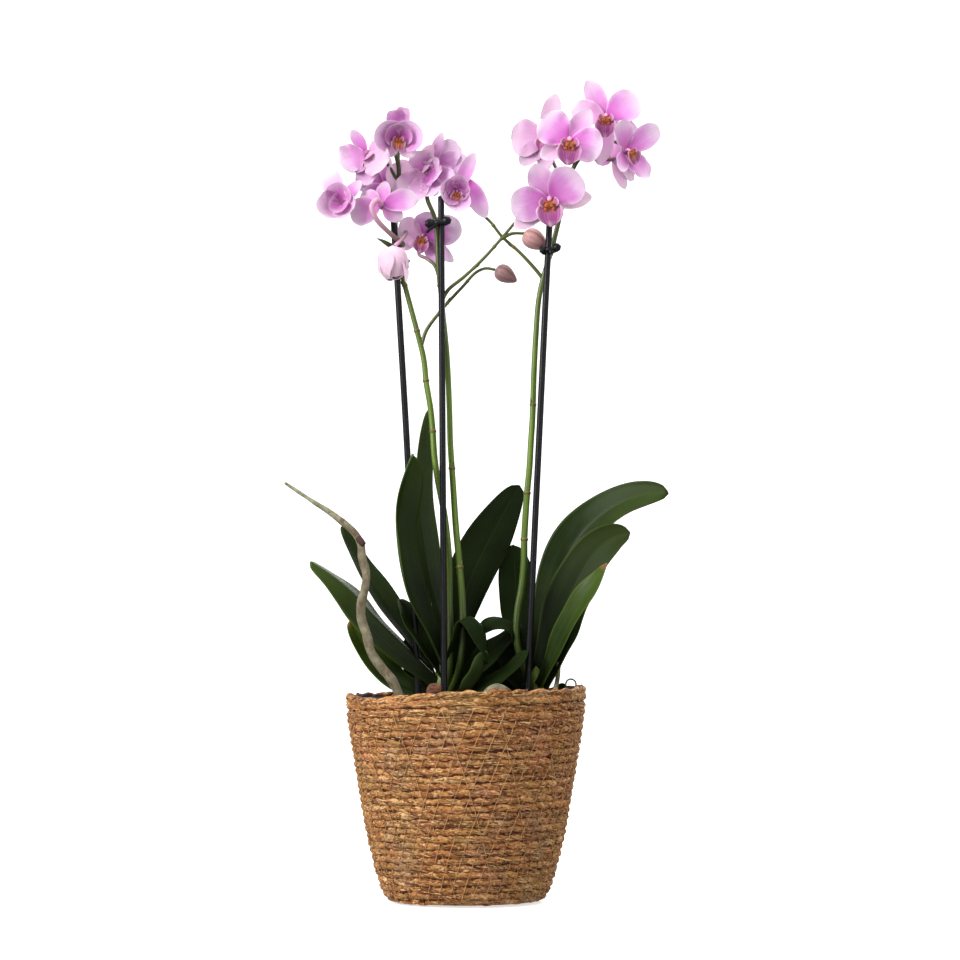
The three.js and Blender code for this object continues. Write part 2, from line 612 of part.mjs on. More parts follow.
// One ring of points at a share of the way out to the flower's edge, on its front or its back
function flowerRing({ petal, cup }, share, front, grow) {
  const lift = THREE.MathUtils.degToRad(cup)
  const thick = TEPAL_THICKNESS / 2 + grow
  const bowl = 0.12 * petal * Math.sin(Math.PI * share)
  return Array.from({ length: FLOWER_DIRECTIONS }, (_, i) => {
    const angle = (i / FLOWER_DIRECTIONS) * 2 * Math.PI
    const out = share * (flowerReach(angle, petal) + grow)
    const side = out * Math.cos(lift)
    const forward = out * Math.sin(lift) - bowl + front * thick
    return new THREE.Vector3(side * Math.cos(angle), side * Math.sin(angle), forward)
  })
}

// A flower is a thin star-shaped dish with its column in the middle and its lip below
function flowerSolid(flower, grow) {
  const rings = [[0.1, -1], [0.5, -1], [1, -1], [1, 1], [0.5, 1], [0.1, 1]]
  const dish = loft(rings.map(([share, front]) => flowerRing(flower, share, front, grow)))
  const column = shapedBall(6, 4, (p) => {
    const radius = COLUMN_RADIUS + grow
    p.set(p.x * radius, -p.z * radius, TEPAL_THICKNESS + p.y * (COLUMN_HALF_LENGTH + grow))
  })
  const lip = shapedBall(6, 4, (p) => p.multiply(vector(LIP_HALF_SIZE.map((half) => half + grow))))
  lip.rotateX(LIP_TILT).translate(...LIP_PLACE)
  return join([dish, column, lip]).transform(flowerFrame(flower).toArray())
}

function addFlowers() {
  for (const [name, flower] of Object.entries(FLOWERS)) {
    addPiece(name, (grow) => flowerSolid(flower, grow), 'petal')
  }
}

function addBuds() {
  for (const [name, { centre, point, length, width }] of Object.entries(BUDS)) {
    const upright = new THREE.Vector3(0, 1, 0)
    const aim = new THREE.Quaternion().setFromUnitVectors(upright, vector(point).normalize())
    const shape = (grow) => toSolid(shapedBall(10, 7, (p) => {
      const slim = 1 - BUD_TAPER * p.y
      p.set(p.x * (width / 2 * slim + grow), p.y * (length / 2 + grow), p.z * (width / 2 * slim + grow))
      p.applyQuaternion(aim).add(vector(centre))
    }))
    addPiece(name, shape, 'bud')
  }
}

function addChips() {
  CHIPS.forEach(({ centre, size, turn }, i) => {
    const shape = (grow) => {
      const chip = new THREE.DodecahedronGeometry(0.56, 0)
      chip.rotateX(0.4).scale(...size.map((side) => side + 2 * grow))
      return toSolid(chip.rotateZ(THREE.MathUtils.degToRad(turn)).translate(...centre))
    }
    addPiece(`bark_chip_${i + 1}`, shape, 'bark')
  })
}

// The filling follows the inside of the pot and rises to a low, uneven mound
function addBark() {
  const foot = potFloor + POT_WALL + GAP
  const inset = POT_WALL + 2 * GAP
  const mound = [[46, 0.4], [30, 0.8], [14, 1], [0, 1]]
  const profile = [[0, foot], [potRadius(foot) - inset, foot], [potRadius(BARK_TOP) - inset, BARK_TOP],
    ...mound.map(([radius, share]) => [radius, BARK_TOP + share * BARK_MOUND])]
  const bark = turned(profile, 16)
  const position = bark.attributes.position
  for (let i = 0; i < position.count; i++) {
    const [x, y, z] = [position.getX(i), position.getY(i), position.getZ(i)]
    const unevenness = z > BARK_TOP ? Math.sin(0.31 * x + 1) * Math.cos(0.27 * y) : 0
    position.setZ(i, z + unevenness)
  }
  addMesh('bark_substrate', toGeometry(clearOfOthers(toSolid(bark))), 'bark')
}

addBasket()
addLiner()
addPot()
addSticks()
addStems()
addSpikes()
addClips()
addRoots()
addLeaves()
addFlowers()
addBuds()
addChips()
addBark()

export default orchid
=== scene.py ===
# Looks of a moth orchid in a basket of sewn grass rope. Metres, +Z up, seen from -Y.
# Lengths in the tables are millimetres, which MM turns into metres.

import json
import math
import random
from functools import partial

import bpy
import numpy as np
from mathutils import Matrix, Vector

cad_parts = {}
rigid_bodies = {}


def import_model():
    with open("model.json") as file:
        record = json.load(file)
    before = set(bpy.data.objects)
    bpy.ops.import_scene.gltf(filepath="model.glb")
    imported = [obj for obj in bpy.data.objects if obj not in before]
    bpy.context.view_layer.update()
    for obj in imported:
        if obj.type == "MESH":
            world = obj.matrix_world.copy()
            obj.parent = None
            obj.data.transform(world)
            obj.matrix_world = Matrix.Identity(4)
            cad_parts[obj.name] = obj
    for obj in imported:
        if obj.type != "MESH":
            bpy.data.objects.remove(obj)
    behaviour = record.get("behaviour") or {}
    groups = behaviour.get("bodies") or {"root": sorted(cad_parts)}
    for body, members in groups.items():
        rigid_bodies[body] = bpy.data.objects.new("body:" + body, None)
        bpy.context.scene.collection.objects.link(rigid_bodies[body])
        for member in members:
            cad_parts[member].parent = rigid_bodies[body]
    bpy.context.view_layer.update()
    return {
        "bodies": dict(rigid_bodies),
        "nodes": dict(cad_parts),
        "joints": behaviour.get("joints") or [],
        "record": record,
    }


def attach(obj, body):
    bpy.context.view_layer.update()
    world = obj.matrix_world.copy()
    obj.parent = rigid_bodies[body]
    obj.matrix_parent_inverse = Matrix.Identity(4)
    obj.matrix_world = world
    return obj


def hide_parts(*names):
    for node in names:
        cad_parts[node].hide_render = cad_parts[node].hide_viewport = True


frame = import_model()

MM = 0.001
TAU = 2 * math.pi
BODY = "root"
rng = random.Random(7)
noise_rng = np.random.default_rng(7)

# Basket
BASKET_HEIGHT = 128
# Outline of the outside of the wall: radius and height, from the foot up
BASKET_OUTER = [(44, 0), (48.6, 3.5), (51.4, 9), (55, 20), (60.4, 43), (66.4, 78), (70.4, 103), (72.6, 121.9)]
BASKET_TOP_RADIUS = 72.6
BASKET_MIDDLE_RADIUS = 66
BASKET_WALL = 4.6
# How much higher the rim stands at the right than in the middle
RIM_LEAN = 2.4
RIM_RING_RADIUS = 70.4
# The rim sags in one place: how deep, at what angle and how wide, both in radians
RIM_SAG = 2.4
RIM_SAG_ANGLE = 3.75
RIM_SAG_SPREAD = 0.42
ROPE_RADIUS = 2.35
ROPE_PITCH = 4.45
ROPE_STRANDS = 2
STRAND_RADIUS = 2.1
STRAND_OFFSET = 0.62
STRAND_FLATNESS = 0.7
STRAND_LAY = 17
RIM_STRAND_RADIUS = 1.85
RIM_STRAND_OFFSET = 0.85
RIM_LAY = 27
RIM_HALF_HEIGHT = 2.9
RIM_HALF_DEPTH = 1.9
RIM_BLADES = 170
# The loop of thread at the rim: its centre, and how far it reaches along each axis
LOOP_CENTRE = (63, -14.5, 130.8)
LOOP_REACH = (3.1, 0.35, 3.2)
LOOP_THREAD_RADIUS = 0.5
WALL_BANDS = 4
WALL_STEPS = 170
# The last band of the wall goes on for this part of a turn under the rim rope
WALL_END = 0.9
BASE_INNER = 3.0
BASE_OUTER = 46.0
BASE_STEPS = 90
BASE_STRAND_RADIUS = 1.6
# How far the two faces of the dark core sheet lie outside the rope's centre
BED_FRONT = 0.7
BED_BACK = -1.6
WALL_BLADES = 1300
# Sewing threads that lean to the right, and the few that lean the other way
THREAD_LINES = 46
COUNTER_LINES = 14
THREAD_LEAN = 0.026
THREAD_RADIUS = 0.25

# Growing pot
POT_FLOOR = 6.1
POT_TOP = 121.1
POT_FOOT_RADIUS = 44
POT_TOP_RADIUS = 60
POT_WALL = 0.8
# The pot's lip: radius, and how far below the top
POT_LIP = [(60.4, 4), (61.7, 4), (62, 3.6), (62, 0.4), (61.6, 0), (59.6, 0)]
LINER_TOP = 124.4
LINER_THICKNESS = 0.35
BARK_TOP = 116
BARK_RADIUS = 58.2
BARK_FOOT_RADIUS = 43
BARK_MOUND = 8
BARK_CHIPS = 190
# Centre, size and turn of the single chips
NAMED_CHIPS = [
    ((-19, -27, 125), (9, 7, 13), 20), ((46, -21, 121), (12, 8, 9), -30), ((-8, 36, 121), (16, 9, 8), 35),
    ((26, 30, 122), (13, 11, 7), -20), ((-42, 22, 120), (14, 9, 8), 70)]

STICK_RADIUS = 1.95
# Support sticks, from foot to top
STICKS = {
    "left": [(-24, -5, 32), (-29, -6, 127), (-35, -7, 262), (-41, -8, 364), (-44, -8, 413)],
    "middle": [(-13, -18, 32), (-13, -18, 128), (-14, -18, 272), (-15, -18, 425)],
    "right": [(33, -14, 32), (37, -14, 127), (40.5, -15, 204), (44, -16, 276), (48, -16, 359),
              (50.5, -16, 408)],
}
# Centre, roll in degrees, reach of the two wings, end of the tail
CLIPS = {
    "left": ((-41.5, -5.2, 386.5), -32, (6.5, 7), (6, 4)),
    "middle": ((-16.5, -15.2, 409), 8, (7.5, 7), (-8, -5)),
    "right": ((50.7, -12.4, 393), 12, (4, 6), (0, -3)),
}
# Half widths of the ring of a clip, and the radius of its wire
CLIP_RING = (3.9, 5.6)
CLIP_RADIUS = 1.6
# Place and top of the two stems that carry the leaves
PLANT_STEMS = {"left": (-14, 1, 148), "right": (43, 3, 144)}
PLANT_STEM_RADII = [5.2, 6.4, 6, 3]

# Each leaf: points of the midrib from base to tip, the way the upper face looks, full width, how far the two
# halves fold up in degrees, the kind of tip, how yellow its edge is, and its brightness: own colour and
# painted shade
LEAVES = [
    ([(-14, 1, 143), (-22, 1, 144), (-35, 5, 160), (-46, 8, 175), (-55, 10, 189), (-64, 12, 203),
     (-76, 14, 227)], (0.55, -0.75, 0.4), 19, 24, "point", 0.15, 0.62),
    ([(-12, 1, 146), (-16, 5, 171), (-22, 10, 194), (-26, 14, 217), (-28, 17, 240), (-27, 19, 263),
     (-23, 20, 299)], (0.7, -0.8, 0), 20, 22, "point", 0.35, 0.8),
    ([(-10, 1, 143), (-8, 6, 156), (-3, 11, 176), (4, 18, 197), (13, 26, 216), (23, 30, 235), (33, 32, 253)],
     (-0.35, -1, 0.1), 32, 16, "ovate", 0.05, 0.29),
    ([(-14, -2, 141), (-23, -6, 162), (-32, -10, 180), (-37, -14, 196), (-40, -18, 214), (-40, -21, 234),
     (-32, -23, 269)], (0.85, -0.5, 0), 26, 34, "blunt", 0.25, 0.7),
    ([(-15, -2, 136), (-23, -4, 150), (-30, -5, 162), (-36, -6, 173), (-41, -7, 182)], (0.4, -0.6, 0.7), 20,
     25, "round", 0.2, 0.55),
    ([(-14, -1, 131), (-25, -6, 141), (-41, -13, 157), (-55, -19, 171), (-68, -23, 185), (-81, -25, 196),
     (-93, -26, 204)], (0.3, -0.7, 0.7), 28, -30, "point", 0.75, 0.66),
    ([(-16, 0, 125), (-28, -2, 126), (-42, -5, 132), (-53, -8, 143), (-63, -9, 156), (-70, -8, 169)],
     (0.3, -0.8, 0.5), 20, 20, "brown", 0.9, 0.86),
    ([(-10, -3, 137), (-7, -8, 151), (-2, -13, 165), (2, -17, 171), (7, -21, 167), (11, -23, 156),
     (13, -23, 143)], (0.1, -0.06, 1), 20, -20, "round", 0.0, 0.35),
    ([(-8, -5, 122), (0, -11, 126), (6, -17, 133), (10, -22, 142), (12, -25, 151)], (-0.5, 0.4, 0.8), 15, 35,
     "round", 0.3, 0.42),
    ([(41, 5, 140), (36, 9, 154), (32, 14, 172), (30, 19, 195), (29, 22, 216)], (0.2, -1, 0.2), 24, 18,
     "round", 0.05, 0.38),
    ([(44, 4, 138), (47, 7, 153), (51, 10, 175), (58, 13, 199), (68, 13, 219), (82, 11, 233), (97, 8, 242),
     (111, 5, 246), (123, 2, 247)], (-0.2, -0.85, 0.45), 29, 20, "ovate", 0.35, 0.74),
    ([(45, 2, 135), (50, -3, 150), (58, -7, 172), (68, -10, 194), (78, -12, 210), (89, -13, 219),
     (99, -14, 222)], (-0.3, -0.95, 0.15), 29, 18, "ovate", 0.7, 0.44),
    ([(46, 3, 133), (51, 4, 145), (57, 4, 163), (64, 3, 181), (76, 1, 200)], (-0.6, -0.5, 0.6), 22, 28,
     "point", 0.3, 0.5),
    ([(45, -5, 129), (52, -13, 144), (60, -22, 162), (69, -29, 179), (78, -33, 192), (84, -35, 203)],
     (-0.7, -0.6, 0.45), 21, 22, "brown", 0.6, 1.0),
    ([(47, 0, 125), (52, -4, 136), (58, -8, 149), (65, -12, 164), (73, -16, 180)], (-0.6, -0.6, 0.5), 19, 22,
     "yellow", 0.8, 0.8),
    ([(41, 0, 141), (37, -3, 154), (31, -6, 165), (22, -8, 169), (14, -9, 168), (8, -10, 161)],
     (0, -0.5, 0.9), 19, -16, "point", 0.05, 0.34),
    ([(-9, 2, 127), (0, 0, 132), (7, -1, 140), (15, 0, 149), (24, 1, 157), (34, 3, 166)], (-0.4, -0.6, 0.7),
     22, 16, "point", 0.1, 0.34),
    ([(-8, -1, 121), (2, -10, 123), (11, -15, 127), (20, -17, 133), (29, -18, 141), (37, -18, 151)],
     (-0.4, -0.5, 0.8), 18, 18, "point", 0.1, 0.34),
]
YOUNG_LEAF = 8
# Short inner blades low between the two fans: midrib, face, width, fold
INNER_BLADES = [
    ([(-4, 10, 120), (0, 13, 136), (4, 15, 150), (6, 15, 161)], (-0.2, -0.95, 0.1), 23, 10),
    ([(14, 12, 114), (15, 15, 126), (16, 17, 139), (15, 17, 149)], (-0.1, -0.95, 0.2), 26, 10),
    ([(36, 12, 116), (34, 14, 132), (32, 15, 148), (31, 15, 162)], (0.2, -0.95, 0.1), 20, 10),
    ([(-8, 8, 120), (2, 11, 131), (13, 12, 141), (25, 12, 149)], (-0.3, -0.8, 0.5), 27, 12),
    ([(44, 8, 120), (35, 9, 134), (26, 10, 145), (17, 9, 153)], (0.3, -0.8, 0.5), 25, 12),
    ([(-6, 5, 114), (8, 8, 120), (22, 9, 127), (38, 8, 136)], (-0.3, -0.7, 0.6), 24, 14),
    ([(40, 5, 114), (30, 6, 122), (18, 6, 129), (4, 5, 138)], (0.3, -0.7, 0.6), 22, 14),
    ([(49, 8, 114), (53, 10, 120), (57, 11, 126), (60, 11, 131)], (-0.4, -0.8, 0.3), 13, 16),
    ([(-20, 6, 116), (-27, 9, 130), (-32, 10, 146), (-34, 10, 162)], (0.4, -0.8, 0.3), 22, 16),
]
# How fully each kind of tip is rounded, and where it starts to close
TIPS = {"round": (2.6, 0.55), "ovate": (2.0, 0.52), "point": (1.7, 0.4), "blunt": (4.5, 0.7),
        "brown": (2.2, 0.45), "yellow": (2.2, 0.5)}
DRY_TIPS = ("brown", "yellow")
# Leaves darker than this get the duller shaded skin, a less glossy copy for leaves in painted shade
SHADED_TONE = 0.4

# Flower spikes: the main stem from foot to tip, thin branches, and the heights of the brown joints
SPIKES = {
    "left": dict(
        main=[(-12, -2, 127), (-10, -7, 140), (-9.5, -9, 152), (-9.8, -10, 182), (-10.2, -11, 206),
              (-13, -12.5, 233), (-17, -12.5, 254), (-19, -12, 269), (-20, -11, 284), (-21.5, -10, 298),
              (-24, -9, 313), (-25.5, -8, 327), (-29, -7, 342), (-33, -6, 357), (-37, -4.5, 372),
              (-40.5, -2.5, 385), (-42.5, -1, 396), (-43, 0, 410), (-42.5, 0, 429), (-41, -1, 444),
              (-43, -2, 454)],
        branches=[[(-27, -7.5, 336), (-24, -7.2, 345), (-16, -7.6, 356), (-10, -8, 363), (-2, -8.6, 371.5),
                   (6, -9.5, 380), (12, -10.4, 382.4), (17.5, -10.5, 381.6)]],
        joints=[284, 315, 344, 372]),
    "middle": dict(
        main=[(-11, -1, 124), (-5, -8, 137), (-2.2, -11.6, 154), (-2.2, -12, 181), (-4, -12, 204),
              (-6, -12, 225), (-7.5, -12, 247), (-8.5, -12, 262), (-9.4, -12, 276), (-10, -12.4, 298),
              (-11.5, -13.6, 330), (-14, -14, 356), (-16.6, -13.8, 381), (-17.8, -12.8, 404),
              (-19.2, -11, 414), (-23.5, -9, 425), (-23.5, -4, 435)],
        branches=[[(-15, -13.9, 361), (-11, -13.9, 368.5), (-1, -13.5, 377), (11, -12.8, 388.5),
                   (22, -12.2, 401), (29.5, -11.8, 410)],
                  [(21, -12.2, 400), (28, -12, 403.4), (35.5, -11.6, 403.6)]],
        joints=[202, 260, 372]),
    "right": dict(
        main=[(41, 0, 126), (34.5, -6, 142), (30.5, -8.8, 158), (31.2, -9.6, 175), (33.6, -10.2, 189),
              (35, -10.8, 204), (35.2, -11, 218), (36, -11.6, 233), (37, -11.8, 247), (38.4, -11.8, 262),
              (39.2, -11.6, 276), (40.2, -11.4, 291), (41.2, -11, 320), (42.4, -10.2, 342),
              (44.2, -9.8, 364), (47.2, -9.2, 378), (52, -8.6, 394), (55, -8, 406), (59.5, -6, 425),
              (65.5, -4, 445), (71.5, -4, 454), (78, -2, 462)],
        branches=[[(48.5, -9, 372), (46, -9.2, 377), (33, -8.6, 392), (22, -8, 402), (15, -7.6, 411),
                   (9, -7.4, 416.5), (2, -7, 422)]],
        joints=[217, 245, 300, 392]),
}
SPIKE_RADII = [2.1, 2.1, 1.9, 1.75, 1.5, 1.3]
BRANCH_RADII = [1.25, 1.05, 0.95, 0.9]
STALK_RADIUS = 1.05
THICK_STALK_RADIUS = 1.5
# Heights in metres: leaves shade the stems below the first, flowers above the second, and from the third
# up the stems turn olive
LEAF_SHADE, FLOWER_SHADE, OLIVE_START = 0.235, 0.428, 0.3
# Flower stalks, from the stem to the heart of each flower
STALKS = {
    "left": [
        [(-41.5, -1.4, 447), (-41.2, -1, 460), (-41, -12.4, 460.6)],
        [(-42, -0.6, 438), (-50, 0, 450), (-60.3, -8.2, 453.3)],
        [(-43, 0, 416), (-60, -4, 424), (-72, -10, 423), (-74.9, -16.4, 422)],
        [(-42.2, -1, 396), (-38.4, -7, 397.5), (-41, -15, 399), (-47, -25, 403), (-54, -31, 410),
         (-56.5, -32, 417), (-53, -28.5, 421.5), (-51.1, -24.4, 419.3)],
        [(-42.5, -0.6, 403), (-37, -4, 405.5), (-36.5, -11, 403), (-39, -17, 399), (-43.3, -20.8, 394.2)],
        [(-42.8, 0, 424), (-46, 6, 432), (-49.8, 13.4, 436.9)]],
    "middle": [
        [(-16.5, -13.6, 377), (-19, -12.5, 384), (-24, -10, 388.5), (-28.5, -6, 391.5), (-28, -3, 397),
         (-25.9, -4.4, 402.6)],
        [(-23.4, -7, 430), (-24, 0, 440), (-24, -1.4, 442)]],
    "right": [
        [(57, -7, 415), (55, -14, 421), (50.6, -29.4, 421)],
        [(66, -4, 446), (64, -14, 457), (62, -24.4, 458)],
        [(77, -2.3, 461), (84, -1, 472), (85, -9.4, 475)],
        [(76, -2.6, 459.5), (86, 1, 462), (93, -5, 460), (96.8, -16.6, 453.6)],
        [(62, -5, 436), (54, 12, 450), (50, 13, 465), (49, 9.4, 466.2)],
        [(70, -4, 452), (82, 2, 451), (90.8, 13.5, 453)],
        [(3.4, -7, 420.9), (-3, -4, 428), (-6, -11.4, 429)]],
}
PINK_STALKS = [("left", 3), ("left", 4), ("middle", 0)]
THICK_STALK = ("left", 3)
BRACT = [(-42.5, -1, 395.5), (-46, -3.5, 397.2), (-50.5, -4.5, 399.8), (-54.6, -5, 401.7)]
BRACT_RADII = [0.8, 1.9, 1.7, 1.1, 0.15]
# Centre, the way the bud points, length, width, brightness: painted light on the upper bud, painted shade on
# the lower
BUDS = {
    "bud_upper": ((42, -10.4, 399.5), (0.85, 0.1, -0.5), 16.5, 12, 1.5),
    "bud_lower": ((24, -10.5, 378.5), (0.85, 0, -0.52), 14, 10.4, 0.76),
}
# Path and radii of the aerial roots, and the short broken stub on the long one
LONG_ROOT = "aerial_root_long"
# The long root is younger and greener above this height in metres
YOUNG_ROOT_START = 0.222
ROOTS = {
    LONG_ROOT: (
        [(-34, -30, 104), (-37, -32, 116), (-40, -34, 126), (-44, -35, 134), (-50, -36, 141),
         (-56, -37, 150), (-59, -37, 161), (-62, -37, 170), (-62, -37, 178), (-60, -37, 187),
         (-59, -36, 196), (-61.5, -35, 206), (-62.5, -34, 215), (-67, -34, 222), (-74, -33, 228),
         (-82, -32, 234), (-90, -31, 239), (-99, -30, 245), (-108, -29, 251)],
        [3.1, 3.1, 3.0, 2.7, 2.9, 2.6, 2.2, 1.8, 1.3, 0.8]),
    "aerial_root_arch": (
        [(8, -36, 108), (10, -35, 120), (15, -34, 127.5), (21, -33, 128), (27, -30, 121), (29, -28, 108)],
        [2.8, 3.2, 3.0, 2.4]),
    "aerial_root_stub": ([(50, -12, 104), (52, -11, 120), (55, -9, 133), (56, -8, 144)], [1.8, 1.7, 1.3]),
}
ROOT_STUB = [(-64, -35, 218), (-62, -36, 215.5), (-60.6, -36.4, 213.8)]


# Curves
def points_mm(points):
    return np.array(points, float) * MM


def unit(vectors):
    return vectors / np.maximum(np.linalg.norm(vectors, axis=-1, keepdims=True), 1e-12)


def tangents_of(path):
    return unit(np.gradient(path, axis=0))


def distance_along(path):
    return np.concatenate([[0], np.cumsum(np.linalg.norm(np.diff(path, axis=0), axis=1))])


def circle(count):
    """Angles of even steps once round."""
    return np.linspace(0, TAU, count, endpoint=False)


def polar(radius, angle, height):
    return np.stack(np.broadcast_arrays(radius * np.cos(angle), radius * np.sin(angle), height), -1)


def smooth_curve(points, count):
    """Evenly spaced points on a centripetal Catmull-Rom curve through the given points in metres."""
    points = np.asarray(points, float)
    padded = np.vstack([2 * points[0] - points[1], points, 2 * points[-1] - points[-2]])
    fine = []
    for i in range(len(points) - 1):
        near = padded[i:i + 4]
        knots = np.cumsum([0, *(max(np.linalg.norm(b - a), 1e-6) ** 0.5 for a, b in zip(near, near[1:]))])
        t = np.linspace(knots[1], knots[2], 24, endpoint=False)[:, None]

        def blend(p, q, a, b):
            return (knots[b] - t) / (knots[b] - knots[a]) * p + (t - knots[a]) / (knots[b] - knots[a]) * q

        first = [blend(near[k], near[k + 1], k, k + 1) for k in range(3)]
        second = [blend(first[k], first[k + 1], k, k + 2) for k in range(2)]
        fine.append(blend(*second, 1, 2))
    fine = np.vstack(fine + [points[-1:]])
    length = distance_along(fine)
    at = np.linspace(0, length[-1], count)
    return np.column_stack([np.interp(at, length, fine[:, k]) for k in range(3)])


def curve_mm(points, count):
    return smooth_curve(points_mm(points), count)


def carried_frames(path):
    """Two unit vectors across the path at each point, carried along it with no twist."""
    tangents = tangents_of(path)
    start = np.array([0, 0, 1.0]) if abs(tangents[0][2]) < 0.9 else np.array([1.0, 0, 0])
    across = [unit(np.cross(tangents[0], start))]
    for i in range(1, len(path)):
        last = across[-1]
        across.append(unit(last - tangents[i] * np.dot(last, tangents[i])))
    across = np.array(across)
    return across, np.cross(tangents, across)


def oval(wide, high=1.0):
    """A tube's section: an ellipse whose half widths are wide and high times the radius."""
    return lambda turn, share: 1 / np.sqrt((np.cos(turn) / wide) ** 2 + (np.sin(turn) / high) ** 2)


# Mesh building
class Shape:
    """Vertices, faces and per-vertex values of one piece, put together from several closed parts."""

    def __init__(self):
        self.vertices = []
        self.faces = []
        self.values = {}
        self.count = 0

    def add(self, vertices, faces, **values):
        vertices = np.asarray(vertices, float).reshape(-1, 3)
        for name in dict.fromkeys([*self.values, *values]):
            column = self.values.setdefault(name, [np.zeros(self.count)] if self.count else [])
            value = np.asarray(values.get(name, 0.0), float).ravel()
            column.append(np.broadcast_to(value, (len(vertices),)).copy())
        self.vertices.append(vertices)
        self.faces.extend([tuple(int(i) + self.count for i in face) for face in faces])
        self.count += len(vertices)

    def rest(self):
        """Presses flat whatever would reach below the ground."""
        for vertices in self.vertices:
            vertices[:, 2] = np.maximum(vertices[:, 2], 0)

    def piece(self, name, material, slot, *replaced):
        mesh = bpy.data.meshes.new(name)
        mesh.from_pydata(np.vstack(self.vertices).tolist(), [], self.faces)
        for value_name, columns in self.values.items():
            attribute = mesh.attributes.new(value_name, "FLOAT", "POINT")
            attribute.data.foreach_set("value", np.concatenate(columns).astype(np.float32))
        mesh.polygons.foreach_set("use_smooth", [True] * len(mesh.polygons))
        mesh.materials.append(material)
        mesh.update()
        piece = bpy.data.objects.new(name, mesh)
        bpy.context.scene.collection.objects.link(piece)
        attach(piece, BODY)
        if replaced:
            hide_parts(*replaced)


def grid_faces(rows, columns, closed, start=0, flip=False):
    faces = []
    for r in range(rows - 1):
        for c in range(columns if closed else columns - 1):
            a = start + r * columns + c
            b = start + r * columns + (c + 1) % columns
            quad = (a, b, b + columns, a + columns)
            faces.append(quad[::-1] if flip else quad)
    return faces


def fan_faces(rows, columns):
    """Two fans that close a tube of rings; their two middle points come after the rings."""
    foot, top = rows * columns, rows * columns + 1
    last = (rows - 1) * columns
    return ([(foot, (i + 1) % columns, i) for i in range(columns)]
            + [(top, last + i, last + (i + 1) % columns) for i in range(columns)])


def add_rings(shape, rings, **values):
    """A closed body of rings in metres, the last one joined to the first, that leans as the basket does."""
    rows, columns = len(rings), len(rings[0])
    last = (rows - 1) * columns
    faces = grid_faces(rows, columns, True)
    faces += [(last + c, last + (c + 1) % columns, (c + 1) % columns, c) for c in range(columns)]
    shape.add(rim_lean(np.vstack(rings)), faces, **values)


def add_tube(shape, path, radii, sides, section=None, frames=None, **values):
    """A closed tube whose radii are spread from end to end. section(angle, share) scales them round it."""
    count = len(path)
    across, upward = frames or carried_frames(path)
    share = np.linspace(0, 1, count)
    radii = np.interp(share, np.linspace(0, 1, len(radii)), radii)
    turn = circle(sides)
    scale = radii[:, None] * (section(turn[None, :], share[:, None]) if section else 1.0)
    rings = (path[:, None, :] + across[:, None, :] * (scale * np.cos(turn))[..., None]
             + upward[:, None, :] * (scale * np.sin(turn))[..., None])
    tangents = tangents_of(path)
    ends = [path[0] - tangents[0] * radii[0] * 0.5, path[-1] + tangents[-1] * radii[-1] * 0.5]
    values.update(along=share, metres=distance_along(path))
    for name, value in values.items():
        if np.ndim(value) == 1 and len(value) == count:
            values[name] = np.concatenate([np.repeat(value, sides), [value[0], value[-1]]])
    around = np.concatenate([np.tile(turn / TAU, count), [0, 0]])
    faces = grid_faces(count, sides, True) + fan_faces(count, sides)
    shape.add(np.vstack([rings.reshape(-1, 3), *ends]), faces, around=around, **values)


def add_sheet(shape, top, under, **values):
    """A closed thin sheet from two grids of points with the same rows and columns."""
    rows, columns = top.shape[:2]
    size = rows * columns
    ids = np.arange(size).reshape(rows, columns)
    edge = [*ids[0], *ids[1:, -1], *ids[-1, -2::-1], *ids[-2:0:-1, 0]]
    faces = grid_faces(rows, columns, False) + grid_faces(rows, columns, False, size, True)
    faces += [(b, a, a + size, b + size) for a, b in zip(edge, edge[1:] + edge[:1])]
    doubled = {name: np.tile(np.ravel(value), 2) if np.size(value) > 1 else value
               for name, value in values.items()}
    shape.add(np.vstack([top.reshape(-1, 3), under.reshape(-1, 3)]), faces, **doubled)


def add_ball(shape, centre, half, rows, columns, matrix=None, move=None, **values):
    """A closed round body, shaped by move(points), stretched by its half sizes and turned by the matrix."""
    latitude = np.linspace(-math.pi / 2, math.pi / 2, rows + 1)[1:-1]
    turn = circle(columns)
    ring = [[math.cos(a) * math.cos(t), math.cos(a) * math.sin(t), math.sin(a)]
            for a in latitude for t in turn]
    points = np.array(ring + [[0, 0, -1], [0, 0, 1]])
    height = points[:, 2].copy()
    if move:
        points = move(points)
    points = points * np.asarray(half)
    if matrix is not None:
        points = points @ np.asarray(matrix).T
    faces = grid_faces(rows - 1, columns, True) + fan_faces(rows - 1, columns)
    around = np.concatenate([np.tile(turn / TAU, rows - 1), [0, 0]])
    shape.add(points + np.asarray(centre), faces, along=height / 2 + 0.5, around=around, **values)


